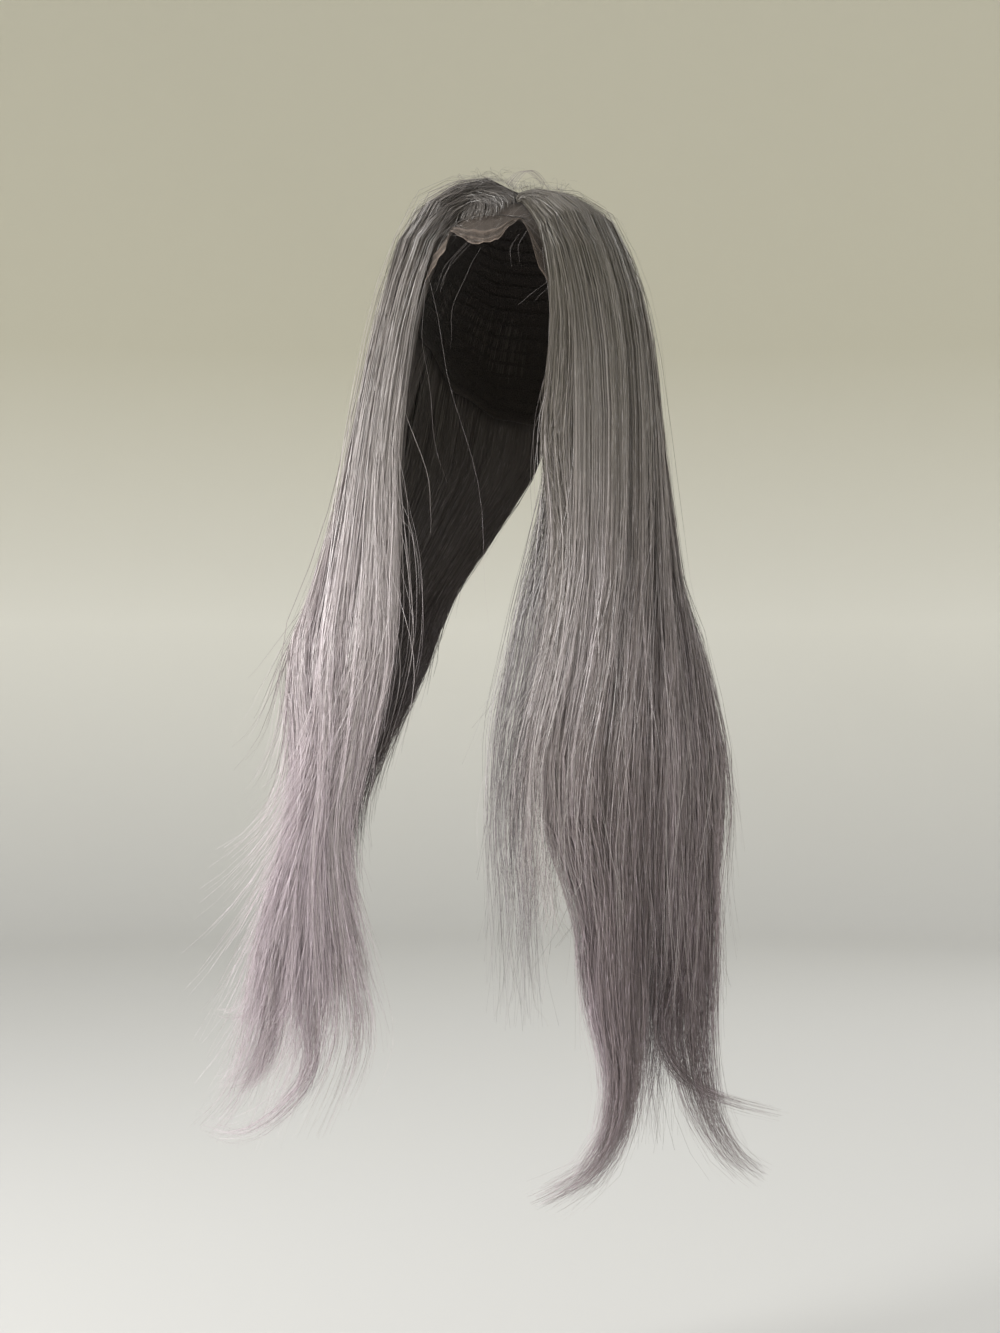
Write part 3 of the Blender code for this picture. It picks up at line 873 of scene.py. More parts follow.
@dataclass(frozen=True)
class HairFinish:
    """Silver grey fibre in four shades, random from hair to hair, from painted shade to painted glints.

    Attributes:
        name: name of the material.
        deep: painted shade between the hairs, the darkest stop.
        middle: usual shade.
        pale: painted light, the colour of the lit hairs.
        glint: colour of the painted highlights, the glints.
        root: shade near the roots.
        tip: tint of the lower hair.
        roughness: usual roughness.
        anisotropy: how far the gloss is drawn out along the hair.
        root_reach: where along the longest hair the shade of the roots ends.
    """

    name: str
    deep: Colour
    middle: Colour
    pale: Colour
    glint: Colour
    root: Colour
    tip: Colour = (1.14, 1.05, 1.11)
    roughness: float = 0.36
    anisotropy: float = 0.55
    root_reach: float = 0.34

    def strands(self) -> bpy.types.Material:
        """Finish of the separate hairs.

        Returns:
            The material.
        """
        board = Board(self.name)
        tone, along = board.attribute("tone"), board.attribute("along")
        fine = board.noise(board.place((1.0, 1.0, 0.02)), 1300.0, 1.0)
        streak = board.noise(board.place((1.0, 1.0, 0.04)), 105.0, 2.0)
        patch = board.noise(board.place((1.0, 1.0, 0.5)), 9.0, 2.0)
        value = board.math("MULTIPLY_ADD", tone, 0.36, board.math("MULTIPLY", streak, 0.18))
        value = board.math("MULTIPLY_ADD", patch, 0.28, value)
        value = board.math("MULTIPLY_ADD", fine, 0.20, value)
        # Tone that differs at random picks the colour; the ramp's ends are painted shade between the hairs
        # and painted highlights
        colour = board.ramp(
            value, [(0.22, self.deep), (0.44, self.middle), (0.64, self.pale), (0.90, self.glint)]
        )
        # Painted highlights: short bright glints along each hair, placed by its tone and its distance from
        # the root
        spark = board.add("CombineXYZ")
        board.join(board.math("MULTIPLY", tone, 311.0), spark.inputs["X"])
        board.join(board.math("MULTIPLY", along, 70.0), spark.inputs["Y"])
        glints = board.span(board.noise(spark.outputs["Vector"], 1.0, 1.0), 0.58, 0.72, 0.0, 0.62)
        colour = board.mix(glints, colour, self.glint)
        rooted = board.span(along, 0.06, self.root_reach, 0.96, 0.0)
        colour = board.mix(rooted, colour, board.mix(0.88, colour, self.root))
        colour = board.mix(board.span(along, 0.30, 0.75, 0.0, 1.0), colour, self.tip, "MULTIPLY")
        board.join(colour, board.shader.inputs["Base Color"])
        rough = board.span(streak, 0.3, 0.7, self.roughness - 0.07, self.roughness + 0.09)
        board.join(rough, board.shader.inputs["Roughness"])
        tangent = board.add("Tangent", direction_type="UV_MAP", uv_map="strand_map")
        board.join(tangent.outputs["Tangent"], board.shader.inputs["Tangent"])
        board.shader.inputs["Anisotropic"].default_value = self.anisotropy
        board.shader.inputs["Specular IOR Level"].default_value = 0.62
        board.shader.inputs["Sheen Weight"].default_value = 0.10
        board.shader.inputs["Sheen Roughness"].default_value = 0.4
        return board.material

    def core(self) -> bpy.types.Material:
        """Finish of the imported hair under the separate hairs.

        Returns:
            The material.
        """
        board = Board(self.name + "_core")
        chart = board.chart("fall_map", (1.0, 0.03, 1.0))
        fine = board.noise(chart, 900.0, 2.0)
        streak = board.noise(chart, 150.0)
        value = board.math("MULTIPLY_ADD", fine, 0.5, board.math("MULTIPLY", streak, 0.5))
        colour = board.ramp(value, [(0.30, self.deep), (0.46, self.middle), (0.66, self.pale)])
        # Painted shade: the packed hair under the strands is darkened towards the shade between the hairs
        colour = board.mix(0.22, colour, self.deep)
        height = board.add("SeparateXYZ")
        board.join(board.add("UVMap", uv_map="fall_map").outputs["UV"], height.inputs["Vector"])
        colour = board.mix(board.span(height.outputs["Y"], 0.02, 0.26, 0.92, 0.0), colour, self.root)
        board.join(colour, board.shader.inputs["Base Color"])
        board.join(board.span(fine, 0.3, 0.7, 0.42, 0.60), board.shader.inputs["Roughness"])
        board.relief(value, 0.0009, 0.8)
        return board.material


@dataclass(frozen=True)
class NetFinish:
    """Dark stretch net of the cap, with its woven mesh and a little fuzz.

    Attributes:
        name: name of the material.
        thread: shade of the threads.
        hollow: shade between them.
        mesh: cells in a metre.
        worn: shade where the net is rubbed.
    """

    name: str = "cap_net"
    thread: Colour = (0.070, 0.056, 0.048)
    hollow: Colour = (0.026, 0.021, 0.018)
    mesh: float = 760.0
    worn: Colour = (0.085, 0.07, 0.06)

    def material(self) -> bpy.types.Material:
        """Builds the finish.

        Returns:
            The material.
        """
        board = Board(self.name)
        chart = board.place((1.0, 1.0, 1.0))
        cells = board.add("TexVoronoi", feature="DISTANCE_TO_EDGE")
        cells.inputs["Scale"].default_value = self.mesh
        board.join(chart, cells.inputs["Vector"])
        thread = board.span(cells.outputs["Distance"], 0.02, 0.16, 1.0, 0.0)
        wear = board.noise(chart, 24.0)
        colour = board.mix(thread, self.hollow, self.thread)
        colour = board.mix(board.math("MULTIPLY", wear, 0.35), colour, self.worn)
        board.join(colour, board.shader.inputs["Base Color"])
        board.join(board.span(wear, 0.3, 0.7, 0.78, 0.92), board.shader.inputs["Roughness"])
        board.shader.inputs["Sheen Weight"].default_value = 0.2
        board.shader.inputs["Sheen Roughness"].default_value = 0.5
        board.relief(thread, 0.0004, 0.7)
        return board.material


@dataclass(frozen=True)
class LaceFinish:
    """Sheer tan lace: fine threads round small cells, paler and fuller along the cut edge.

    Attributes:
        name: name of the material.
        thread: shade of the threads.
        edge: shade of the cut edge and of the folds.
        mottled: shade of its uneven patches.
        cells: cells in a metre.
        veil: how much the open cells cover.
    """

    name: str = "sheer_lace"
    thread: Colour = (0.066, 0.050, 0.038)
    edge: Colour = (0.215, 0.164, 0.132)
    mottled: Colour = (0.125, 0.085, 0.066)
    cells: float = 880.0
    veil: float = 0.50

    def material(self) -> bpy.types.Material:
        """Builds the finish.

        Returns:
            The material.
        """
        board = Board(self.name)
        chart = board.chart("lace_map", (1.0, 1.0, 1.0))
        cells = board.add("TexVoronoi", feature="DISTANCE_TO_EDGE", voronoi_dimensions="2D")
        cells.inputs["Scale"].default_value = self.cells
        cells.inputs["Randomness"].default_value = 0.35
        board.join(chart, cells.inputs["Vector"])
        thread = board.span(cells.outputs["Distance"], 0.05, 0.22, 1.0, 0.0)
        hem = board.span(board.attribute("hem"), 0.93, 0.985, 0.0, 1.0)
        fold = board.attribute("fold")
        mottle = board.noise(chart, 70.0)
        colour = board.mix(hem, self.thread, self.edge)
        colour = board.mix(board.math("MULTIPLY", fold, 0.48), colour, self.edge)
        colour = board.mix(board.math("MULTIPLY", mottle, 0.3), colour, self.mottled)
        board.join(colour, board.shader.inputs["Base Color"])
        cover = board.math("MULTIPLY_ADD", thread, 0.42, self.veil)
        cover = board.math("MULTIPLY_ADD", fold, 0.22, cover)
        cover = board.math("MINIMUM", board.math("MAXIMUM", cover, board.math("MULTIPLY", hem, 0.9)), 1.0)
        board.join(cover, board.shader.inputs["Alpha"])
        board.join(board.span(mottle, 0.3, 0.7, 0.62, 0.80), board.shader.inputs["Roughness"])
        board.shader.inputs["Sheen Weight"].default_value = 0.12
        board.shader.inputs["Sheen Roughness"].default_value = 0.45
        board.relief(thread, 0.0003, 0.6)
        return board.material


@dataclass(frozen=True)
class PaperFinish:
    """Matt pale sweep of the studio, with painted light: palest behind the tips, darker on the floor and
    upper wall.

    Attributes:
        name: name of the material.
        low: painted shade of the floor.
        middle: painted light behind the tips.
        high: painted shade of the upper wall.
    """

    name: str = "studio_paper"
    low: Colour = (0.560, 0.560, 0.556)
    middle: Colour = (0.800, 0.790, 0.730)
    high: Colour = (0.590, 0.568, 0.462)

    def material(self) -> bpy.types.Material:
        """Builds the finish.

        Returns:
            The material.
        """
        board = Board(self.name)
        height = board.add("SeparateXYZ")
        board.join(board.add("TexCoord").outputs["Object"], height.inputs["Vector"])
        # Painted light and shade: the sweep is palest behind the tips and darker below and above
        raised = board.span(height.outputs["Z"], -0.9, 0.9, 0.0, 1.0)
        colour = board.ramp(raised, [(0.0, self.low), (0.36, self.middle), (0.72, self.high)])
        grain = board.math("MULTIPLY", board.noise(board.place((1.0, 1.0, 1.0)), 3.0), 0.06)
        board.join(board.mix(grain, colour, self.high), board.shader.inputs["Base Color"])
        board.shader.inputs["Roughness"].default_value = 0.9
        return board.material


@dataclass(frozen=True)
class LockPath:
    """A lock that leaves a fall and hangs on its own path.

    Attributes:
        table: x, y, z, width and depth of its sections.
        low: first share of the fall that feeds it.
        high: last share of the fall that feeds it.
        taken: part of the hairs there that follow it.
        shortest: where along its path its shortest hairs end.
        loose: usual distance of its hairs from their place at its end.
        painted_highlight: painted highlight, lightness added along its inner side.
    """

    table: Table
    low: float
    high: float
    taken: float
    shortest: float = 0.55
    loose: float = 0.006
    painted_highlight: float = 0.0

    def sections(self, at: Array) -> Array:
        """Section values along the lock, for places from 0 to 1."""
        rows = np.asarray(self.table, float)
        return read_curve(np.arange(len(rows), dtype=float), rows, at * (len(rows) - 1))


@dataclass
class Growth:
    """Plan of the hairs of one body, a value for each hair.

    Attributes:
        share: place across the body.
        depth: depth in the body, 0 at its outer face.
        tone: lightness.
        tip: level where it ends.
        pull: share towards the middle of its clump.
        drift: how far it wanders across the fall.
        waves: how often it wanders there and back.
        phase: where its wandering starts.
        start: where on its way over the head it grows.
        path: number of the lock that it joins, or -1.
        swing: sideways bend of its tip.
        stray: how far it strays across and out of its lock.
        aside: how far across it goes at its end, with its wisp.
    """

    share: Array
    depth: Array
    tone: Array
    tip: Array
    pull: Array
    drift: Array
    waves: Array
    phase: Array
    start: Array
    path: Array
    swing: Array
    stray: Array
    aside: Array


# Hairs of one tuft, kinds of wisps at one place, and what clump, tuft and hair add to the lightness
HAIRS_A_TUFT = 5
WISP_LAYERS = 6
TONE_SHARES = (0.12, 0.18, 0.70)
FRONT_TONE = 0.35


@dataclass
class HairBody:
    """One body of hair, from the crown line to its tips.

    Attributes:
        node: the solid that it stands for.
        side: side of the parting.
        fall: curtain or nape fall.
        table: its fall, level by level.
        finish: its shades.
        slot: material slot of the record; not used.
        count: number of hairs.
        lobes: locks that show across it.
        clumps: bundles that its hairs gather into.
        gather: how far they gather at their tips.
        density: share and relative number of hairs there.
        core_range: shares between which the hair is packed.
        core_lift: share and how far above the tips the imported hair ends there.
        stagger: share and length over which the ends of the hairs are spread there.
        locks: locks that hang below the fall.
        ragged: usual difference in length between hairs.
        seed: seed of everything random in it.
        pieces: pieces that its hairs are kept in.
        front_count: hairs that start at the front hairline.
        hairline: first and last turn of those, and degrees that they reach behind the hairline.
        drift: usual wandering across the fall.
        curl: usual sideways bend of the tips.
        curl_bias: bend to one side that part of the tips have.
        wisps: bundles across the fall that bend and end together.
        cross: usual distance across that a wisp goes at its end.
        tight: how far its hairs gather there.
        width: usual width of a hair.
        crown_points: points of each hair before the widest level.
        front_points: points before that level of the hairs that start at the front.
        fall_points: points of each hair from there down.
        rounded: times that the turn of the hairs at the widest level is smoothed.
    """

    node: str
    side: Side
    fall: Fall
    table: Table
    finish: HairFinish
    slot: str
    count: int
    lobes: int
    clumps: int
    gather: float
    density: Table
    core_range: tuple[float, float]
    core_lift: Table
    stagger: Table
    seed: int
    locks: tuple[LockPath, ...] = ()
    ragged: float = 0.022
    pieces: int = 1
    front_count: int = 0
    hairline: tuple[float, float, float] = (0.0, 0.0, 0.0)
    drift: float = 0.012
    curl: float = 0.005
    curl_bias: float = 0.0
    wisps: int = 30
    cross: float = 0.03
    tight: float = 0.45
    width: float = 0.00038
    crown_points: int = 6
    front_points: int = 10
    fall_points: int = 14
    rounded: int = 4
    _levels: Array = field(init=False)
    _columns: Array = field(init=False)

    def __post_init__(self) -> None:
        """Turns the table round so that its keys rise."""
        rows = np.asarray(self.table, float)
        self._levels = -rows[:, 0]
        self._columns = rows[:, 1:]

    def crown_share(self, share: Array) -> Array:
        """Place along the crown line for a share of this body.

        Args:
            share: place across the body.

        Returns:
            The place.
        """
        if self.fall is Fall.CURTAIN:
            return np.minimum(share * SIDE_SEAM, SIDE_SEAM - SEAM_TURN / 180)
        return np.maximum(SIDE_SEAM + share * (1 - SIDE_SEAM), SIDE_SEAM + SEAM_TURN / 180)

    def edge_share(self, share: Array, fallen: Array | float) -> Array:
        """Part of the full depth of hair near the two edges.

        Args:
            share: place across the body.
            fallen: how far the hair has left the head.

        Returns:
            The part.
        """
        last = 1.0 - 0.65 * fallen
        first = 0.24 if self.fall is Fall.CURTAIN else last
        rise = first + (1 - first) * ease(share / 0.28)
        return rise * (last + (1 - last) * ease((1 - share) / 0.28))

    def ripple(self, share: Array) -> Array:
        """Rise and fall of the locks across the body."""
        return LOBE_DEPTH * np.cos(2 * pi * self.lobes * (share - 0.5))

    def face(self, share: Array, z: Array) -> tuple[Array, Array, Array]:
        """Outer face of the fall.

        Args:
            share: place across the fall.
            z: level.

        Returns:
            The points, the way out of the hair, and its full depth.
        """
        values = read_curve(self._levels, self._columns, -z, beyond=1.2)
        first, middle, last = values[..., 0:2], values[..., 2:4], values[..., 4:6]
        s = share[..., None]
        flat = first * (2 * s - 1) * (s - 1) + middle * 4 * s * (1 - s) + last * s * (2 * s - 1)
        along = first * (4 * s - 3) + middle * (4 - 8 * s) + last * (4 * s - 1)
        out = unit(np.stack((along[..., 1], -along[..., 0]), -1)) * self.side.value
        points = np.concatenate((flat, z[..., None]), -1)
        return points, np.concatenate((out, np.zeros_like(s)), -1), values[..., 6]

    def crown_faces(self, share: Array, way: Array) -> tuple[Array, Array]:
        """Outer and inner face over the head.

        Args:
            share: place across the body.
            way: share of the way down to the widest level.

        Returns:
            Outer and inner points.
        """
        crown = self.crown_share(share)
        sweep = 1 - ease(share / SWEEP_REACH) if self.fall is Fall.CURTAIN else np.zeros_like(share)
        column = 1 if self.side is Side.LEFT else 2
        direction = crown_direction(crown, way, self.side, sweep)
        edge = self.edge_share(share, 0.0)
        depth = read(CROWN_DEPTH, way, column, smooth=True) * edge
        over = on_head(direction, NEAR + depth + self.ripple(share) * ease(way))
        under = on_head(direction, np.full_like(depth, NEAR))
        face, out, full = self.face(share, np.full_like(share, BELT))
        ended = crown_direction(crown, np.ones_like(way), self.side, sweep)
        end_out = NEAR + read(CROWN_DEPTH, 1.0, column) * edge
        shift = ease((way - 0.35) / 0.65)[..., None]
        over = over + (face - on_head(ended, end_out)) * shift
        inner = face - out * (full * edge)[..., None]
        under = under + (inner - on_head(ended, np.full_like(depth, NEAR))) * shift
        return self.kept(over, under)

    def fall_faces(self, share: Array, z: Array) -> tuple[Array, Array]:
        """Outer and inner face of the hanging hair.

        Args:
            share: place across the fall.
            z: level.

        Returns:
            Outer and inner points.
        """
        face, out, full = self.face(share, z)
        tip = read(TIPS[self.node], share, 1, smooth=True)
        thin = 0.12 + 0.88 * ease((z - tip) / TAPER)
        depth = full * self.edge_share(share, ease((BELT - z) / 0.10)) * thin
        over = face + out * (self.ripple(share) * thin)[..., None]
        return self.kept(over, face - out * depth[..., None])

    def kept(self, over: Array, under: Array) -> tuple[Array, Array]:
        """Keeps both faces outside the head form and on their own side.

        Args:
            over: outer points.
            under: inner points.

        Returns:
            Both, moved where needed.
        """
        over = clear_of_head(over, np.full(over.shape[:-1], NEAR + LEAST_HAIR))
        under = clear_of_head(under, np.full(under.shape[:-1], NEAR))
        if self.fall is Fall.NAPE:
            for points in (over, under):
                points[..., 0] = self.side.value * np.maximum(self.side.value * points[..., 0], PART_GAP)
        return over, under

    def shares(self, count: int, rng: Random) -> Array:
        """Places across the body, as many as the density table asks for.

        Args:
            count: number of places.
            rng: source of the places.

        Returns:
            The places.
        """
        at = np.linspace(0, 1, 400)
        total = np.cumsum(read(self.density, at, 1))
        return np.interp(rng.random(count) * total[-1], total, at)

    def depths(self, count: int, rng: Random) -> Array:
        """Depths in the body, most of them near its outer face.

        Args:
            count: number of depths.
            rng: source of the depths.

        Returns:
            The depths.
        """
        kind = rng.random(count)
        outer = np.abs(rng.normal(0, 0.10, count))
        inner = 1 - np.abs(rng.normal(0, 0.12, count))
        deep = rng.random(count)
        return np.clip(np.where(kind < 0.66, outer, np.where(kind < 0.84, inner, deep)), 0, 1)

    def plan(self, count: int, front: bool, rng: Random) -> Growth:
        """Settles where each hair grows, how deep it lies, how long it is and which lock it joins.

        Args:
            count: number of hairs.
            front: hairs of the front hairline, which lie on top near the first edge.
            rng: source of the differences.

        Returns:
            The plan.
        """
        tufts = max(count // HAIRS_A_TUFT, 1)
        kinds = WISP_LAYERS * self.wisps
        tuft_share, tuft_depth = self.shares(tufts, rng), self.depths(tufts, rng)
        if front:
            tuft_share, tuft_depth = rng.random(tufts) * 0.36, np.abs(rng.normal(0, 0.10, tufts))
        tuft = rng.integers(tufts, size=count)
        share = np.clip(tuft_share[tuft] + rng.normal(0, 0.018, count), 0, 1)
        depth = np.clip(tuft_depth[tuft] + rng.normal(0, 0.05, count), 0, 1)
        middles = (np.arange(self.clumps) + rng.uniform(0.1, 0.9, self.clumps)) / self.clumps
        clump = np.abs(share[:, None] - middles[None, :]).argmin(1)
        of_clump, of_tuft, of_hair = TONE_SHARES
        tone = of_clump * rng.random(self.clumps)[clump] + of_tuft * rng.random(tufts)[tuft]
        tone = tone + of_hair * rng.random(count)
        layer = np.digitize(depth, (0.12, 0.35)) + 3 * rng.integers(2, size=count)
        wisp = np.minimum((share * self.wisps).astype(int), self.wisps - 1) + self.wisps * layer
        wisp_long = rng.exponential(self.ragged, kinds)
        wisp_middle = (wisp % self.wisps + rng.uniform(0.1, 0.9, kinds)[wisp]) / self.wisps
        wisp_cross = rng.normal(0, self.cross, kinds)
        tip = read(TIPS[self.node], share, 1, smooth=True) + wisp_long[wisp]
        tip = tip + read(self.stagger, share, 1) * rng.random(count) ** 0.62 - 0.5 * self.ragged
        swing = rng.normal(0, self.curl, kinds)
        swing = swing + np.where(rng.random(kinds) < 0.35, self.curl_bias, 0.0)
        path = np.full(count, -1)
        for index, lock in enumerate(self.locks):
            near = (share > lock.low) & (share < lock.high) & (rng.random(count) < lock.taken)
            path[near] = index
        start = np.where(depth > 0.22, rng.random(count) ** 1.5 * 0.6, rng.random(count) * 0.05)
        return Growth(
            share=share,
            depth=depth,
            # Painted shade: hairs deep in the body keep four fifths of their tone
            tone=np.where(depth > 0.3, tone * 0.8, tone) * (FRONT_TONE if front else 1.0),
            tip=np.minimum(tip, BELT - 0.12),
            pull=middles[clump] - share,
            drift=rng.normal(0, self.drift, tufts)[tuft],
            waves=rng.uniform(0.7, 2.4, tufts)[tuft],
            phase=rng.random(tufts)[tuft],
            start=np.zeros(count) if front else start,
            path=path,
            swing=swing[wisp] + rng.normal(0, self.curl * 0.4, count),
            aside=(wisp_middle - share) * self.tight + wisp_cross[wisp],
            stray=rng.normal(0, 1, (2, kinds))[:, wisp] + rng.normal(0, 0.35, (2, count)),
        )

    def over_head(self, plan: Growth, steps: int, front: bool, rng: Random) -> tuple[Array, Array]:
        """Points of the hairs on their way over the head.

        Args:
            plan: plan of the hairs.
            steps: points of each hair before the widest level.
            front: hairs that start at the front hairline.
            rng: source of their roots.

        Returns:
            The points and the way out at each.
        """
        way = plan.start[:, None] + (1 - plan.start[:, None]) * np.linspace(0, 1, steps + 1)[None, :-1]
        over, under = self.crown_faces(np.broadcast_to(plan.share[:, None], way.shape), way)
        rise = ease(way / 0.14)
        layer = np.clip(plan.depth[:, None] + (1 - plan.depth[:, None]) * 0.85 * (1 - rise), 0, 1)
        outs = unit(over - under)
        points = over + (under - over) * layer[..., None]
        if front:
            low_turn, high_turn, deep = self.hairline
            turn = rng.uniform(low_turn, high_turn, len(plan.share))
            drop = read(HAIRLINE, turn, 1) - deep * rng.random(len(turn)) ** 1.3
            drop = drop + rng.normal(0, 0.5, len(turn))
            root = toward(turn, drop)[:, None, :]
            joined = ease(way / 0.72)[..., None]
            ray = unit((points - HEAD_CENTRE) / HEAD_HALVES)
            heading = unit(unit(root) * (1 - joined) + ray * joined)
            raised = rng.uniform(0.003, 0.008, len(turn))[:, None]
            swept = on_head(heading, NEAR + 0.0004 + raised * np.sin(pi * np.clip(way / 0.7, 0, 1)))
            points = swept * (1 - joined) + points * joined
            outs = unit(heading * (1 - joined) + outs * joined)
        return points, outs

    def grow(self, count: int, steps: int, front: bool, rng: Random) -> Strands:
        """Grows hairs of the body.

        Args:
            count: number of hairs.
            steps: points of each hair before the widest level.
            front: hairs that start at the front hairline.
            rng: source of every difference between them.

        Returns:
            The hairs.
        """
        plan = self.plan(count, front, rng)
        crown, crown_outs = self.over_head(plan, steps, front, rng)
        spaced = 1 - (1 - np.linspace(0, 1, self.fall_points)) ** 1.2
        fallen = np.broadcast_to(spaced, (count, self.fall_points))
        gathered = self.gather * ease((fallen - 0.2) / 0.8)
        wave = np.sin(2 * pi * (fallen * plan.waves[:, None] + plan.phase[:, None]))
        shares = plan.share[:, None] + plan.pull[:, None] * gathered
        shares = shares + plan.drift[:, None] * wave * ease(fallen * 2.5)
        shares = shares + plan.aside[:, None] * ease((fallen - 0.50) / 0.50) ** 1.4
        shares = np.clip(shares, 0, 1)
        z = BELT + (plan.tip[:, None] - BELT) * fallen
        rim = np.clip(np.abs(plan.pull) * self.clumps * 2, 0, 1) ** 3
        sunk = np.clip(plan.depth[:, None] + 0.12 * rim[:, None] * ease(fallen * 2), 0, 1)
        over, under = self.fall_faces(shares, z)
        outs = np.concatenate((crown_outs, unit(over - under)), 1)
        points = np.concatenate((crown, over + (under - over) * sunk[..., None]), 1)
        for index, lock in enumerate(self.locks):
            self.follow(lock, points, outs, np.flatnonzero(plan.path == index), plan, rng)
        for _ in range(self.rounded):
            near = slice(steps - 2, steps + 3)
            before, after = slice(steps - 3, steps + 2), slice(steps - 1, steps + 4)
            points[:, near] = points[:, near] * 0.5 + (points[:, before] + points[:, after]) * 0.25
        along = lengths_of(points)
        placed = along / along[:, -1:]
        self.curl_tips(points, placed, plan, rng)
        lift = np.abs(rng.normal(0, 0.0005, count))
        lift = lift + np.where(rng.random(count) < 0.06, rng.exponential(0.0025, count), 0.0)
        lift = np.where(plan.depth < 0.3, lift, -lift * 0.2)
        points = points + outs * (lift[:, None] * ease(placed * 8))[..., None]
        widths = self.width * rng.uniform(0.7, 1.3, count)[:, None]
        widths = widths * (1 - 0.74 * ease((placed - 0.82) / 0.18)) * (0.6 + 0.4 * ease(placed * 12))
        return Strands(points, tilted(points, outs, rng, 0.62), widths, plan.tone, along / LONGEST_HAIR)

    def curl_tips(self, points: Array, placed: Array, plan: Growth, rng: Random) -> None:
        """Bends the last part of each hair aside, in place.

        Args:
            points: points of the hairs, changed here.
            placed: place of each point along its hair, from 0 to 1.
            plan: plan of the hairs.
            rng: source of the bends.
        """
        count = len(points)
        swing = np.where(plan.path >= 0, plan.swing * 0.4, plan.swing)
        ahead = rng.normal(0, self.curl * 0.6, count)
        bend = np.clip((placed - 0.70) / 0.30, 0, 1) ** 2.2
        points[..., 0] += swing[:, None] * bend
        points[..., 1] -= np.abs(ahead)[:, None] * bend * 0.6
        points[..., 2] += (np.abs(swing) * 0.35)[:, None] * bend**2
        fine = rng.normal(0, 0.0014, count)[:, None] * np.sin(placed * rng.uniform(14, 30, count)[:, None])
        slow = rng.normal(0, 0.0020, count)[:, None]
        slow = slow * np.sin(placed * 9 + rng.uniform(0, 6, count)[:, None])
        points[..., 0] += (fine + slow) * ease((placed - 0.28) * 1.8)

    def follow(
        self,
        lock: LockPath,
        points: Array,
        outs: Array,
        taken: Array,
        plan: Growth,
        rng: Random,
    ) -> None:
        """Leads some hairs from the fall into a hanging lock, in place.

        Args:
            lock: the lock.
            points: points of all hairs, changed here.
            outs: way out at each point, changed here.
            taken: numbers of the hairs that follow the lock.
            plan: plan of the hairs.
            rng: source of their lengths.
        """
        if not len(taken):
            return
        top, turn, count = lock.table[0][2], 0.42, len(taken)
        share, depth = plan.share[taken], plan.depth[taken]
        ended = lock.shortest + (1 - lock.shortest) * rng.random(count) ** 1.5
        travelled = np.broadcast_to(np.linspace(0, 1, self.fall_points)[None, :], (count, self.fall_points))
        inside = np.clip((travelled - turn) / (1 - turn), 0, 1) * ended[:, None]
        section = lock.sections(inside)
        z = np.where(travelled < turn, BELT + (top - BELT) * travelled / turn, section[..., 2])
        over, under = self.fall_faces(np.broadcast_to(share[:, None], z.shape), np.maximum(z, top - 0.16))
        hanging = over + (under - over) * depth[:, None, None]
        hanging[..., 2] = z
        a = (2 * (share - lock.low) / (lock.high - lock.low) - 1) * self.side.value
        a = a + rng.normal(0, 0.16, count)
        b = 1 - 2 * depth + rng.normal(0, 0.2, count)
        # Painted highlight: hairs on the inner side of the lock are made lighter
        plan.tone[taken] = np.clip(plan.tone[taken] + lock.painted_highlight * ease(-a * self.side.value - 0.1), 0, 1)
        a, b = np.clip(a, -1.1, 1.1), np.clip(b, -1.1, 1.1)
        a, b = a * np.sqrt(1 - b * b / 2.5), b * np.sqrt(1 - a * a / 2.5)
        centre = section[..., :3]
        along = unit(np.gradient(centre, axis=1) + np.array((0.0, 0.0, -1e-6)))
        across = unit(np.cross(along, np.array((0.0, 1.0, 0.0))))
        deep = np.cross(along, across)
        stray = lock.loose * plan.stray[:, taken][:, :, None] * inside[None] ** 1.6
        lateral = across * (section[..., 3] / 2 * a[:, None] + stray[0])[..., None]
        inward = deep * (section[..., 4] / 2 * b[:, None] + stray[1] * 0.7)[..., None]
        blend = ease((travelled - turn) / 0.22)[..., None]
        first = points.shape[1] - self.fall_points
        points[taken, first:] = hanging * (1 - blend) + (centre + lateral + inward) * blend
        round_lock = unit(lateral * 0.8 + inward + deep * 0.002)
        outs[taken, first:] = unit(unit(over - under) * (1 - blend) + round_lock * blend)

    def core_mesh(self) -> bpy.types.Mesh:
        """Packed hair a little inside the outer face, closed all round and thinned above the tips.

        Returns:
            The mesh, with a map in metres across and along.
        """
        low, high = self.core_range
        columns = np.arange(64)
        share = np.linspace(low, high, len(columns))
        way = np.linspace(0.03, 1, 15)[:-1]
        fallen = np.linspace(0, 1, 40)
        tip = read(TIPS[self.node], share, 1, smooth=True) + read(self.core_lift, share, 1, smooth=True)
        tip = tip + 0.012 * np.sin(share * 61) + 0.010 * np.sin(share * 137)
        over_crown, under_crown = self.crown_faces(*np.broadcast_arrays(share[None, :], way[:, None]))
        z = BELT + (tip[None, :] - BELT) * fallen[:, None]
        over_fall, under_fall = self.fall_faces(np.broadcast_to(share[None, :], z.shape), z)
        over, under = np.concatenate((over_crown, over_fall)), np.concatenate((under_crown, under_fall))
        down = np.concatenate((np.zeros(len(way)), fallen))[:, None]
        thin = 1 - 0.9 * ease((down - 0.72) / 0.28)
        crown_root = np.concatenate((1 - ease(way / 0.16), np.zeros(len(fallen))))[:, None]
        across = np.minimum(columns, columns[::-1])[None, :]
        rim = 1 - 0.7 * (1 - ease(across / 3))
        start = np.clip(0.34 + 0.5 * crown_root, 0, 0.9)
        middle = 0.5 + start / 2 - 0.04
        half = (0.96 - start) / 2 * thin * rim
        return closed_core(
            self.node + "_core",
            over + (under - over) * (middle - half)[..., None],
            over + (under - over) * (middle + half)[..., None],
        )

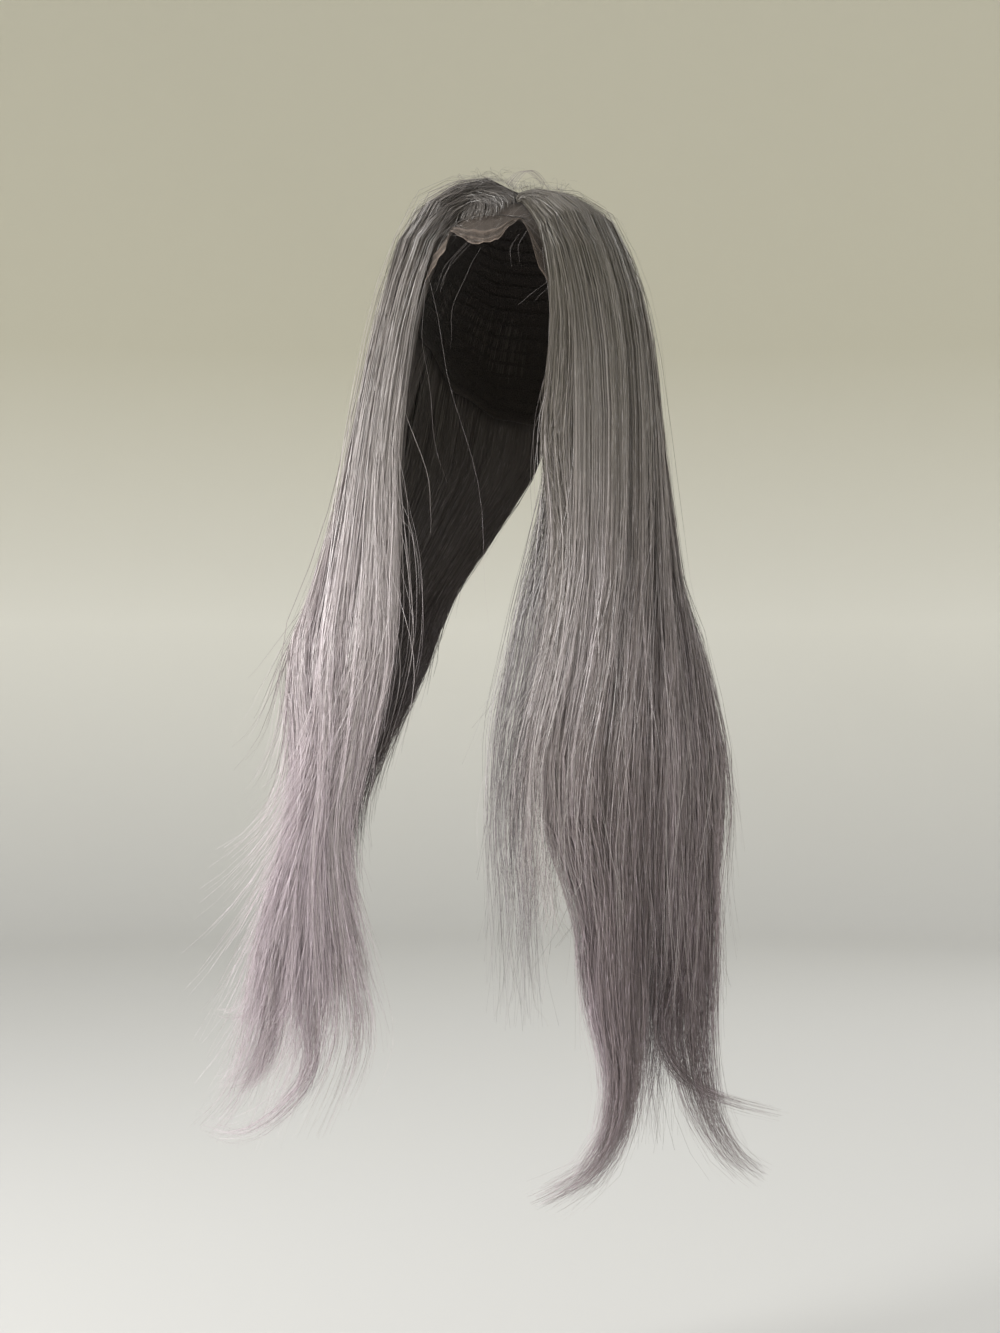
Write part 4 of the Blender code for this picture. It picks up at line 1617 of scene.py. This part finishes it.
    def build(self, tree: StrandTree) -> list[bpy.types.Object]:
        """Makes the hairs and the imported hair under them.

        Args:
            tree: tree that makes the ribbons.

        Returns:
            The pieces.
        """
        rng = np.random.default_rng(self.seed)
        finish = self.finish.strands()
        made = [finished_piece(self.node + "_packed", self.core_mesh(), self.finish.core())]
        for number in range(self.pieces):
            groups = [self.grow(self.count // self.pieces, self.crown_points, False, rng)]
            if self.front_count:
                groups.append(self.grow(self.front_count // self.pieces, self.front_points, True, rng))
            made.append(tree.weave(f"{self.node}_strands_{number + 1}", groups, finish))
        for piece in made:
            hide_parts(self.node)
        return made


def closed_core(name: str, outer: Array, inner: Array) -> bpy.types.Mesh:
    """Closed body between two grids of points, with a map in metres.

    Args:
        name: name of the mesh.
        outer: rows x columns x 3.
        inner: rows x columns x 3.

    Returns:
        The mesh.
    """
    rows, columns = outer.shape[:2]
    model = bmesh.new()
    sheets = [[[model.verts.new(point) for point in row] for row in grid] for grid in (outer, inner)]
    chart = model.loops.layers.uv.new("fall_map")
    lengths = np.concatenate(([0.0], np.cumsum(np.linalg.norm(np.diff(outer, axis=0), axis=-1).mean(1))))
    widths = np.linspace(0, 0.16, columns)

    def quad(corners: tuple[tuple[int, int, int], ...]) -> None:
        """Adds a face from (sheet, row, column) corners.

        Args:
            corners: its corners.
        """
        face = model.faces.new([sheets[s][r][c] for s, r, c in corners])
        for loop, (s, r, c) in zip(face.loops, corners):
            loop[chart].uv = (widths[c] + 0.2 * s, lengths[r])

    for r in range(rows - 1):
        for c in range(columns - 1):
            quad(((0, r, c), (0, r + 1, c), (0, r + 1, c + 1), (0, r, c + 1)))
            quad(((1, r, c), (1, r, c + 1), (1, r + 1, c + 1), (1, r + 1, c)))
        quad(((0, r, 0), (1, r, 0), (1, r + 1, 0), (0, r + 1, 0)))
        quad(((0, r, columns - 1), (0, r + 1, columns - 1), (1, r + 1, columns - 1), (1, r, columns - 1)))
    for c in range(columns - 1):
        quad(((0, 0, c), (0, 0, c + 1), (1, 0, c + 1), (1, 0, c)))
        last = rows - 1
        quad(((0, last, c), (1, last, c), (1, last, c + 1), (0, last, c + 1)))
    bmesh.ops.recalc_face_normals(model, faces=model.faces)
    return mesh_from(model, name)


@dataclass
class LooseHair:
    """Single hairs off the main falls: flyaways, crossing strands and the fine hairs at the lace.

    Attributes:
        finish: shades of the hair.
        shaded: darker copy of the hair for the thin inner layer, as painted shade.
        width: width of one hair.
        seed: seed of everything random in it.
        standing: short hairs that stand up on each side of the parting.
        tied: fine hairs at the lace.
        veiled: hairs of the loose veil.
        looped: hairs that loop over the front of the parting.
    """

    finish: HairFinish
    shaded: HairFinish
    width: float = 0.00024
    seed: int = 71
    standing: int = 210
    tied: int = 70
    veiled: int = 520
    looped: int = 9

    # Inner edge of the loose veil beside the right curtain: level, x
    VEIL: Table = (
        (0.12, 0.053), (0.20, 0.0486), (0.269, 0.0372), (0.303, 0.0307), (0.388, 0.0184),
        (0.477, 0.0184), (0.60, 0.0279),
    )
    # Hairs near the edges and over the crown of each kind of fall, and how far the first stand off
    WISPS = {Fall.CURTAIN: (420, 150, 0.006), Fall.NAPE: (130, 90, 0.005)}
    # Hairs that cross the face gap: x, y, z of the start, sideways run, forward run, drop, bow, hairs
    STRAYS: Table = (
        (-0.044, -0.079, -0.060, 0.062, -0.030, 0.300, 0.007, 1),
        (-0.046, -0.078, -0.070, 0.020, -0.020, 0.150, -0.006, 1),
        (-0.007, -0.086, -0.046, -0.022, -0.006, 0.037, -0.004, 3),
        (0.003, -0.087, -0.050, -0.026, -0.006, 0.072, -0.006, 1),
        (0.030, -0.078, -0.040, -0.004, -0.004, 0.024, -0.003, 2),
        (0.042, -0.078, -0.051, 0.006, -0.016, 0.160, 0.003, 1),
        (0.052, -0.079, -0.074, -0.020, -0.006, 0.018, 0.001, 2),
        (0.052, -0.080, -0.090, -0.016, -0.024, 0.210, -0.004, 1),
    )

    def strand(self, path: Array, out: Array, tone: float, scale: float = 1.0) -> Strands:
        """One hair along a path.

        Args:
            path: its points.
            out: way that its flat faces.
            tone: its lightness.
            scale: width as a share of the usual one.

        Returns:
            The hair.
        """
        points = path[None]
        along = lengths_of(points)
        widths = self.width * scale * (1 - 0.6 * ease((along / along[:, -1:] - 0.7) / 0.3))
        outs = np.broadcast_to(out, points.shape).copy()
        return Strands(points, outs, widths, np.array((tone,)), along / LONGEST_HAIR + 0.3)

    def strays(self, rng: Random) -> list[Strands]:
        """Hairs that cross the face gap.

        Args:
            rng: source of their shapes.

        Returns:
            The hairs.
        """
        found = []
        way = np.linspace(0, 1, 16)
        for x, y, z, aside, ahead, drop, bow, hairs in self.STRAYS:
            for _ in range(int(hairs)):
                shift = rng.normal(0, 0.004, 3)
                path = np.stack(
                    (
                        x + shift[0] * 0.8 + (aside + shift[1]) * way + bow * np.sin(pi * way)
                        + drop * 0.012 * np.sin(11 * way + shift[1] * 900) * ease(way * 3),
                        y + ahead * way - 0.003 * np.sin(pi * way),
                        z + shift[2] * 0.3 - drop * way,
                    ),
                    -1,
                )
                found.append(self.strand(path, FORWARD, 0.40 + 0.3 * rng.random(), 0.30))
        return found

    def veil(self, body: HairBody, count: int, rng: Random) -> list[Strands]:
        """Thin see-through layer of single hairs beside the inner edge of the right curtain.

        Args:
            body: the right curtain.
            count: number of hairs.
            rng: source of their shapes.

        Returns:
            The hairs.
        """
        way = np.linspace(0, 1, 18)[None, :]
        start, end = rng.uniform(-0.24, -0.10, count), rng.uniform(-0.60, -0.36, count)
        z = start[:, None] + (end - start)[:, None] * way
        over, under = body.fall_faces(np.full(z.shape, 0.02), np.maximum(z, -0.50))
        out = unit(over - under)
        place = rng.random(count)[:, None] ** 1.5
        sway = rng.normal(0, 0.10, count)[:, None] * np.sin(way * rng.uniform(2, 7, count)[:, None])
        place = place * ease(way / 0.35) + sway
        edge = read(self.VEIL, -z, 1)
        points = over.copy()
        points[..., 0] += (edge - over[..., 0]) * np.clip(place, -0.3, 1.15)
        points[..., 1] += rng.uniform(0, 0.022, count)[:, None] * ease(way * 2)
        points[..., 2] = z
        points[..., 0] += rng.normal(0, 0.007, count)[:, None] * np.clip((way - 0.75) / 0.25, 0, 1) ** 2
        return [self.bundle(points, out, rng)]

    def fuzz(self, count: int, rng: Random) -> list[Strands]:
        """Short fine hairs that stand up along the parting and over the crown.

        Args:
            count: number on each side.
            rng: source of their shapes.

        Returns:
            The hairs.
        """
        found = []
        for side, column in ((Side.LEFT, 1), (Side.RIGHT, 2)):
            share, start = rng.random(count) * 0.7, rng.random(count) ** 1.4 * 0.42
            sweep = 1 - ease(share / SWEEP_REACH)
            root = crown_direction(share, start, side, sweep)
            step = rng.normal(0, 1, (count, 3)) * np.array((0.10, 0.09, 0.04))
            way = np.linspace(0, 1, 9)[None, :]
            bent = rng.normal(0, 0.05, (count, 3))[:, None, :] * way[..., None] ** 2
            heading = unit(root[:, None, :] + step[:, None, :] * way[..., None] + bent)
            thick = read(CROWN_DEPTH, start, column, smooth=True)[:, None]
            high = np.clip(rng.exponential(0.0034, count), 0.001, 0.010)[:, None]
            out = NEAR + thick + high * np.sin(pi * way * 0.72)
            found.append(self.bundle(on_head(heading, out), heading, rng, 0.7, 0.02))
        return found

    def loops(self, rng: Random) -> list[Strands]:
        """The few hairs that loop over the front of the parting.

        Args:
            rng: source of their shapes.

        Returns:
            The hairs.
        """
        found = []
        way = np.linspace(0, 1, 14)
        for number in range(self.looped):
            x = -0.002 + 0.026 * way + rng.normal(0, 0.0006)
            z = 0.006 + (0.0140 + 0.0007 * number) * np.sin(pi * (0.10 + 0.78 * way)) - 0.002 * way
            y = -0.012 + 0.003 * number + 0.004 * way
            path = np.stack((x, np.broadcast_to(y, x.shape), z), -1)
            found.append(self.strand(path, np.array((0.0, -1.0, 0.2)), 0.15, 1.1))
        return found

    def edge_wisps(self, body: HairBody, count: int, rng: Random, reach: float) -> list[Strands]:
        """Hairs that stand a little off a fall and cross its own hairs.

        Args:
            body: body of hair that they lie on.
            count: number of hairs.
            rng: source of their shapes.
            reach: furthest that they stand off.

        Returns:
            The hairs.
        """
        share = np.where(rng.random(count) < 0.5, rng.random(count) * 0.18, rng.random(count))
        start, long = rng.uniform(-0.50, -0.10, count), rng.uniform(0.08, 0.30, count)
        way = np.linspace(0, 1, 14)[None, :]
        z = start[:, None] - long[:, None] * way
        tip = read(TIPS[body.node], share, 1, smooth=True)[:, None]
        z = np.maximum(z, tip - 0.015 + 0.02 * (1 - way))
        drift = rng.normal(0, 0.10, count)[:, None] * ease(way)
        over, under = body.fall_faces(np.clip(share[:, None] + drift, 0, 1), z)
        out = unit(over - under)
        off = rng.uniform(0.0006, reach, count)[:, None] * np.sin(pi * np.clip(way * 1.1, 0, 1)) ** 0.7
        aside = np.array((-body.side.value, 0.0, 0.0)) * (
            np.where(share < 0.12, rng.exponential(0.006, count), 0.0)[:, None] * ease(way * 1.3)
        )[..., None]
        points = over + out * off[..., None] + aside
        return [self.bundle(points, out, rng)]

    def crown_wisps(self, body: HairBody, count: int, rng: Random) -> list[Strands]:
        """Short hairs that stand off the crown in low arcs.

        Args:
            body: body of hair that they lie on.
            count: number of hairs.
            rng: source of their shapes.

        Returns:
            The hairs.
        """
        share, start = rng.random(count), rng.random(count) ** 1.6 * 0.5
        long = rng.uniform(0.10, 0.42, count)
        steps = np.linspace(0, 1, 10)[None, :]
        way = start[:, None] + long[:, None] * steps
        drift = rng.normal(0, 0.10, count)[:, None] * steps
        over, under = body.crown_faces(np.clip(share[:, None] + drift, 0, 1), np.clip(way, 0, 1))
        out = unit(over - under)
        high = rng.exponential(0.0022, count) + 0.0005
        arc = np.sin(pi * np.linspace(0.02, 0.92, steps.size))[None, :]
        points = over + out * (np.clip(high, 0, 0.009)[:, None] * arc)[..., None]
        return [self.bundle(points, out, rng, 0.65, 0.04)]

    def bundle(
        self,
        points: Array,
        out: Array,
        rng: Random,
        scale: float = 1.0,
        along_from: float = 0.25,
    ) -> Strands:
        """Single hairs along given points.

        Args:
            points: hairs x points x 3.
            out: way out at each point.
            rng: source of their widths and tones.
            scale: width as a share of the usual one.
            along_from: how far from the roots they start, as a share of the longest hair.

        Returns:
            The hairs.
        """
        along = lengths_of(points)
        widths = self.width * scale * (0.7 + 0.5 * rng.random(len(points)))[:, None]
        widths = widths * (1 - 0.6 * ease((along / along[:, -1:] - 0.7) / 0.3))
        outs = tilted(points, out, rng, 0.6)
        tones = 0.35 + 0.6 * rng.random(len(points))
        return Strands(points, outs, widths, tones, along + along_from)

    def hairline(self, rng: Random, count: int) -> list[Strands]:
        """Fine hairs tied into the lace, swept back and to the side.

        Args:
            rng: source of their shapes.
            count: number of hairs.

        Returns:
            The hairs.
        """
        turn = rng.uniform(-40, 42, count)
        edge = read(tuple((row[0], row[1]) for row in sorted(LACE_EDGE)), turn, 1)
        seam = read(CAP_EDGE, np.abs(turn), 1, smooth=True)
        drop = seam + (edge - seam) * rng.random(count) ** 2 * 0.75
        way = np.linspace(0, 1, 9)[None, :]
        side = np.sign(turn - 11)
        aside = (rng.uniform(6, 26, count) * side)[:, None] * way**1.2
        down = rng.uniform(-14, 16, count)[:, None] * way
        down = down + 7 * np.sin(pi * way) * rng.normal(0, 0.5, count)[:, None]
        lift = LACE_WALL + 0.0008 + rng.uniform(0.0005, 0.004, count)[:, None] * np.sin(pi * way * 0.8)
        direction = toward(turn[:, None] + aside, drop[:, None] + down)
        points = on_head(direction, lift)
        return [self.bundle(points, direction, rng, 0.6, 0.0)]

    def build(self, tree: StrandTree, bodies: list[HairBody]) -> list[bpy.types.Object]:
        """Makes the loose hairs.

        Args:
            tree: tree that makes the ribbons.
            bodies: bodies of hair that they belong to.

        Returns:
            The pieces.
        """
        rng = np.random.default_rng(self.seed)
        groups = self.strays(rng) + self.fuzz(self.standing, rng) + self.loops(rng)
        for body in bodies:
            at_edges, over_crown, reach = self.WISPS[body.fall]
            groups += self.edge_wisps(body, at_edges, rng, reach)
            groups += self.crown_wisps(body, over_crown, rng)
        finish = self.finish.strands()
        made = [
            tree.weave("loose_hairs", groups, finish),
            tree.weave("hairline_hairs", self.hairline(rng, self.tied), finish),
            tree.weave("inner_veil", self.veil(bodies[1], self.veiled, rng), self.shaded.strands()),
        ]
        return made


@dataclass
class WigCap:
    """Thin stretch net dome under the hair, with rows of sewn tracks inside it.

    Attributes:
        finish: net of the cap.
        band: finish of the sewn rows.
        rings: rows of faces from the top to the edge.
        turns: columns of faces round it.
        tracks: sewn rows across the back.
        track_width: width of a sewn row.
        track_inset: how far inside the head form they lie.
        FLAT: flat size of the cloth; not used.
    """

    finish: NetFinish = NetFinish()
    band: NetFinish = NetFinish("track_band", (0.055, 0.046, 0.041), (0.026, 0.021, 0.018), 420.0)
    rings: int = 30
    turns: int = 120
    tracks: int = 15
    track_width: float = 0.0026
    track_inset: float = 0.0008
    FLAT: tuple[float, float] = (0.34, 0.30)

    def dome(self) -> bpy.types.Mesh:
        """Fine dome just outside the head form.

        Returns:
            The mesh.
        """
        model = bmesh.new()
        turn = np.arange(self.turns) * 360 / self.turns
        edge = read(CAP_EDGE, np.abs((turn + 180) % 360 - 180), 1, smooth=True)
        share = (np.arange(1, self.rings + 1) / self.rings)[:, None]
        out = np.full((self.rings, self.turns), CAP_WALL * 0.6)
        points = on_head(toward(turn[None, :], share * edge[None, :]), out)
        top = model.verts.new((0, 0, CAP_WALL * 0.6))
        grid = [[model.verts.new(point) for point in row] for row in points]
        for c in range(self.turns):
            d = (c + 1) % self.turns
            model.faces.new((top, grid[0][c], grid[0][d]))
            for r in range(self.rings - 1):
                model.faces.new((grid[r][c], grid[r + 1][c], grid[r + 1][d], grid[r][d]))
        bmesh.ops.recalc_face_normals(model, faces=model.faces)
        return mesh_from(model, "cap_net_dome")

    def track_lines(self) -> list[Strands]:
        """Sewn rows round the inside of the back of the cap.

        Returns:
            The rows.
        """
        found = []
        for row in range(self.tracks):
            share = 0.30 + 0.66 * row / (self.tracks - 1)
            turn = np.linspace(70, 290, 44)
            edge = read(CAP_EDGE, np.abs((turn + 180) % 360 - 180), 1, smooth=True)
            direction = toward(turn, share * edge)
            points = on_head(direction, np.full(len(turn), -self.track_inset))[None]
            widths = np.full((1, len(turn)), self.track_width)
            along = lengths_of(points)
            found.append(Strands(points, -direction[None], widths, np.array((0.5,)), along))
        return found

    def build(self, tree: StrandTree) -> list[bpy.types.Object]:
        """Makes the cap and its tracks.

        Args:
            tree: tree that makes ribbons.

        Returns:
            The two pieces.
        """
        finish = self.finish.material()
        mesh = self.dome()
        cap = finished_piece("stretch_cap", mesh, finish)
        wall = cap.modifiers.new("wall", "SOLIDIFY")
        wall.thickness, wall.offset = 0.0007, 0.0
        tracks = tree.weave("sewn_tracks", self.track_lines(), self.band.material())
        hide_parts("wig_cap")
        return [cap, tracks]


@dataclass
class LaceFront:
    """Sheer lace along the forehead, with its stepped cut edge and two folds.

    Attributes:
        finish: lace.
        rows: rows of faces from the seam to the edge.
        splits: columns of faces between two rows of the edge table.
        tucked: degrees that the lace runs on over the front of the cap.
        tucked_rows: rows of faces there.
        FLAT: flat size of the cloth; not used.
    """

    finish: LaceFinish = LaceFinish()
    rows: int = 26
    splits: int = 10
    tucked: float = 12.0
    tucked_rows: int = 6
    FLAT: tuple[float, float] = (0.34, 0.060)

    def columns(self) -> Array:
        """The edge table with the columns between its rows filled in.

        Returns:
            The columns.
        """
        table = np.asarray(LACE_EDGE, float)
        at = np.arange((len(table) - 1) * self.splits + 1) / self.splits
        row = np.minimum(at.astype(int), len(table) - 2)
        return table[row] + (table[row + 1] - table[row]) * (at - row)[:, None]

    def mesh(self) -> bpy.types.Mesh:
        """Lace surface with its map and the attributes of hem and folds.

        Returns:
            The mesh.
        """
        columns = self.columns()
        turn, drop, lift, seam_turn = columns.T
        seam_drop = read(CAP_EDGE, np.abs(seam_turn), 1, smooth=True) + 0.35
        under = ease((40 - np.abs(seam_turn)) / 12) * self.tucked
        whole = np.linspace(0, 1, self.rows + self.tucked_rows + 1)[:, None]
        split = self.tucked_rows / (self.rows + self.tucked_rows)
        share = np.clip((whole - split) / (1 - split), 0, 1)
        behind = np.clip((split - whole) / split, 0, 1)
        wave = 0.05 * np.sin(turn * 0.21) + 0.03 * np.sin(turn * 0.47 + 1.0)
        folds = sum(
            height * np.cos(np.clip(np.abs(share - place - wave[None, :]) / width, 0, 1) * pi / 2) ** 2
            for place, width, height in LACE_FOLDS
        )
        shown = ease((34 - np.abs(turn)) / 4)[None, :]
        frill = 0.0006 * np.sin(turn * 0.9)[None, :] * share**3
        out = 0.0006 + 0.0012 * ease(behind * 6) + shown * (lift[None, :] * share**2 + folds + frill)
        points = on_head(
            toward(
                seam_turn + (turn - seam_turn) * share,
                seam_drop + (np.maximum(drop, seam_drop + 1.2) - seam_drop) * share - under * behind,
            ),
            out,
        )
        model = bmesh.new()
        chart = model.loops.layers.uv.new("lace_map")
        grid = [[model.verts.new(point) for point in row] for row in points]
        u = np.concatenate(([0.0], np.cumsum(np.linalg.norm(np.diff(points[-1], axis=0), axis=-1))))
        down = np.cumsum(np.linalg.norm(np.diff(points, axis=0), axis=-1), axis=0)
        v = np.concatenate((np.zeros((1, len(turn))), down))
        for r in range(len(points) - 1):
            for c in range(len(turn) - 1):
                corners = ((r, c), (r + 1, c), (r + 1, c + 1), (r, c + 1))
                face = model.faces.new([grid[i][j] for i, j in corners])
                for loop, (i, j) in zip(face.loops, corners):
                    loop[chart].uv = (u[j], v[i][j])
        mesh = mesh_from(model, "lace_panel")
        hem = np.broadcast_to(share, folds.shape) * np.where(np.abs(turn) < 60, 1.0, 0.9)
        mesh.attributes.new("hem", "FLOAT", "POINT").data.foreach_set("value", hem.ravel())
        ridge = np.clip(folds / FULL_FOLD, 0, 1) * shown
        mesh.attributes.new("fold", "FLOAT", "POINT").data.foreach_set("value", ridge.ravel())
        return mesh

    def build(self) -> bpy.types.Object:
        """Makes the lace.

        Returns:
            The piece.
        """
        mesh = self.mesh()
        lace = finished_piece("lace_panel", mesh, self.finish.material())
        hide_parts("lace_front")
        return lace


@dataclass
class Studio:
    """Round pale sweep, soft light from the front left and the camera.

    Attributes:
        floor: level of the floor.
        radius: radius of the flat floor.
        cove: radius of the curve up to the wall.
        wall: top of the wall.
        sides: columns of faces round it.
        azimuth: degrees that the camera stands to the right of the front.
        distance: how far away it stands.
        level: level of the camera.
        aside: how far it is moved sideways.
        lens: its focal length in millimetres.
    """

    floor: float = -0.90
    radius: float = 2.9
    cove: float = 0.8
    wall: float = 2.2
    sides: int = 96
    azimuth: float = 15.0
    distance: float = 1.7
    level: float = -0.35
    aside: float = -0.009
    lens: float = 61.2
    # Middle of the hair, which the lamps look at
    AIM = Vector((0.0, -0.04, -0.35))

    def sweep(self) -> bpy.types.Object:
        """Floor and wall in one seamless round surface.

        Returns:
            The surface.
        """
        profile = [(1.2, self.floor), (self.radius, self.floor)]
        for step in range(1, 13):
            angle = pi / 2 * step / 12
            rise = self.cove * (1 - cos(angle))
            profile.append((self.radius + self.cove * sin(angle), self.floor + rise))
        profile.append((self.radius + self.cove, self.wall))
        model = bmesh.new()
        sides = self.sides
        turns = [2 * pi * i / sides for i in range(sides)]
        rings = [
            [model.verts.new((r * cos(turn), r * sin(turn), z)) for turn in turns] for r, z in profile
        ]
        middle = model.verts.new((0.0, 0.0, self.floor))
        for i in range(sides):
            j = (i + 1) % sides
            model.faces.new((middle, rings[0][i], rings[0][j]))
            for low, high in zip(rings, rings[1:]):
                model.faces.new((low[i], high[i], high[j], low[j]))
        mesh = mesh_from(model, "studio_sweep")
        mesh.materials.append(PaperFinish().material())
        sweep = bpy.data.objects.new("studio_sweep", mesh)
        bpy.context.scene.collection.objects.link(sweep)
        return sweep

    def lamp(
        self, name: str, place: Vector, size: float, power: float, colour: Colour, spread: float = 180.0
    ) -> None:
        """Soft square light that looks at the wig.

        Args:
            name: name of the light.
            place: where it stands.
            size: its side.
            power: its power in watts.
            colour: its colour.
            spread: angle that it shines into, in degrees.
        """
        data = bpy.data.lights.new(name, "AREA")
        data.size, data.energy, data.color = size, power, colour
        data.spread = radians(spread)
        light = bpy.data.objects.new(name, data)
        light.location = place
        light.rotation_euler = (self.AIM - place).to_track_quat("-Z", "Y").to_euler()
        bpy.context.scene.collection.objects.link(light)

    def camera(self) -> None:
        """Camera at the viewing angle of the picture."""
        turn = radians(self.azimuth)
        back, right = Vector((sin(turn), -cos(turn), 0.0)), Vector((cos(turn), sin(turn), 0.0))
        data = bpy.data.cameras.new("camera")
        data.lens, data.sensor_width, data.clip_end = self.lens, 36.0, 30.0
        camera = bpy.data.objects.new("camera", data)
        camera.location = back * self.distance + right * self.aside + Vector((0.0, 0.0, self.level))
        camera.rotation_euler = (-back).to_track_quat("-Z", "Y").to_euler()
        bpy.context.scene.collection.objects.link(camera)
        bpy.context.scene.camera = camera

    def build(self) -> None:
        """Sets up the sweep, the lights and the camera."""
        self.sweep()
        self.camera()
        self.lamp("window", Vector((-1.75, -1.35, 1.35)), 1.1, 78.0, (1.0, 0.985, 0.96))
        self.lamp("side_window", Vector((-2.3, -0.8, -0.10)), 1.1, 6.2, (1.0, 0.985, 0.975), 90.0)
        self.lamp("bounce", Vector((2.5, -0.9, 0.2)), 1.8, 17.0, (0.98, 0.98, 0.98))
        self.lamp("back", Vector((0.9, 2.3, 1.1)), 1.4, 18.0, (1.0, 0.99, 0.97))
        world = bpy.data.worlds.new("studio_air")
        world.use_nodes = True
        air = world.node_tree.nodes["Background"]
        air.inputs["Color"].default_value = (0.93, 0.94, 0.95, 1.0)
        air.inputs["Strength"].default_value = 0.70
        bpy.context.scene.world = world
        bpy.context.scene.view_settings.view_transform = "Standard"


SILVER = HairFinish(
    name="silver_hair",
    deep=(0.170, 0.148, 0.142),
    middle=(0.415, 0.370, 0.363),
    pale=(0.640, 0.582, 0.582),
    glint=(0.900, 0.850, 0.865),
    root=(0.070, 0.061, 0.049),
    tip=(1.03, 0.975, 1.075),
    root_reach=0.51,
)
# Darker, warmer copy of the silver hair for the right curtain: painted shade of the side away from the
# window
SHADOW_SIDE = HairFinish(
    name="shadow_side_hair",
    deep=(0.095, 0.081, 0.071),
    middle=(0.205, 0.180, 0.163),
    pale=(0.345, 0.309, 0.294),
    glint=(0.760, 0.705, 0.715),
    root=(0.122, 0.108, 0.084),
    tip=(0.88, 0.80, 0.90),
    root_reach=0.36,
)
SHADED = HairFinish(
    name="shaded_hair",
    deep=(0.072, 0.061, 0.056),
    middle=(0.140, 0.123, 0.117),
    pale=(0.235, 0.212, 0.208),
    glint=(0.500, 0.465, 0.470),
    root=(0.090, 0.078, 0.066),
    tip=(1.0, 0.94, 1.02),
)
# Darker copy of the hair for the thin inner veil: painted shade
VEIL_SHADE = HairFinish(
    name="veil_hair",
    deep=(0.075, 0.065, 0.062),
    middle=(0.150, 0.134, 0.132),
    pale=(0.250, 0.228, 0.230),
    glint=(0.520, 0.490, 0.505),
    root=(0.110, 0.098, 0.082),
    tip=(0.95, 0.90, 1.0),
)

BODIES = [
    HairBody(
        node="curtain_left", side=Side.LEFT, fall=Fall.CURTAIN, table=CURTAIN_LEFT,
        finish=SILVER, slot="silver_hair",
        count=6200, lobes=5, clumps=150, gather=0.22,
        density=((0.0, 1.5), (0.15, 1.1), (0.6, 1.0), (1.0, 0.9)),
        core_range=(0.03, 0.97), core_lift=((0.0, 0.20), (0.5, 0.17), (1.0, 0.20)),
        stagger=((0.0, 0.24), (0.5, 0.20), (1.0, 0.24)), seed=11, pieces=2, front_count=560,
        hairline=(-42.0, 21.0, 13.0),
        locks=(
            LockPath(CURLED_TIPS, 0.50, 0.98, 0.10, 0.40, 0.006),
            LockPath(LEFT_SWOOP, 0.20, 0.66, 0.05, 0.42, 0.0046),
            LockPath(UPPER_ARC, 0.62, 1.0, 0.12, 0.60, 0.0030),
            LockPath(LOWER_ARC, 0.50, 1.0, 0.09, 0.62, 0.0028),
        ),
        ragged=0.024, curl=0.010, curl_bias=-0.022, wisps=22, cross=0.075, tight=0.60,
    ),
    HairBody(
        node="curtain_right", side=Side.RIGHT, fall=Fall.CURTAIN, table=CURTAIN_RIGHT,
        finish=SHADOW_SIDE, slot="silver_hair",
        count=6200, lobes=5, clumps=150, gather=0.22,
        density=((0.0, 1.3), (0.15, 1.1), (0.6, 1.0), (1.0, 0.9)),
        core_range=(0.06, 0.97), core_lift=((0.0, 0.18), (0.2, 0.14), (0.4, 0.06), (1.0, 0.06)),
        stagger=((0.0, 0.20), (0.3, 0.15), (1.0, 0.10)), seed=12, pieces=2, front_count=240,
        hairline=(22.0, 42.0, 7.0),
        locks=(
            LockPath(FRONT_LOCK, 0.10, 0.64, 0.62, 0.30, 0.0048, 0.95),
            LockPath(OUTER_LOCK, 0.70, 1.0, 0.56, 0.32, 0.0056, 0.40),
            LockPath(OUTER_SWOOP, 0.66, 0.95, 0.12, 0.60, 0.0022),
        ),
        ragged=0.022, curl=0.007, cross=0.03,
    ),
    HairBody(
        node="nape_fall_left", side=Side.LEFT, fall=Fall.NAPE, table=NAPE_LEFT,
        finish=SHADED, slot="shaded_hair",
        count=3100, lobes=3, clumps=70, gather=0.20, density=((0.0, 1.0), (1.0, 1.0)),
        core_range=(0.03, 0.97), core_lift=((0.0, 0.12), (1.0, 0.12)),
        stagger=((0.0, 0.10), (1.0, 0.12)), seed=13,
        ragged=0.026, curl=0.007,
    ),
    HairBody(
        node="nape_fall_right", side=Side.RIGHT, fall=Fall.NAPE, table=NAPE_RIGHT,
        finish=SHADED, slot="shaded_hair",
        count=3100, lobes=3, clumps=70, gather=0.12, density=((0.0, 1.0), (1.0, 1.0)),
        core_range=(0.03, 0.97), core_lift=((0.0, 0.12), (0.40, 0.15), (0.55, 0.30), (1.0, 0.34)),
        stagger=((0.0, 0.14), (0.40, 0.18), (0.58, 0.44), (1.0, 0.50)), seed=14,
        locks=(LockPath(SHADED_LOCK, 0.05, 0.52, 0.34, 0.35, 0.010),),
        ragged=0.030, drift=0.020, curl=0.011, curl_bias=-0.016,
    ),
]


def main() -> None:
    """Builds every piece of the wig in order, then the studio."""
    logging.basicConfig(level=logging.INFO, format="%(message)s")
    tree = StrandTree()
    for body in BODIES:
        body.build(tree)
    LooseHair(SILVER, VEIL_SHADE).build(tree, BODIES)
    WigCap().build(tree)
    LaceFront().build()
    Studio().build()


if __name__ == "__main__":
    main()
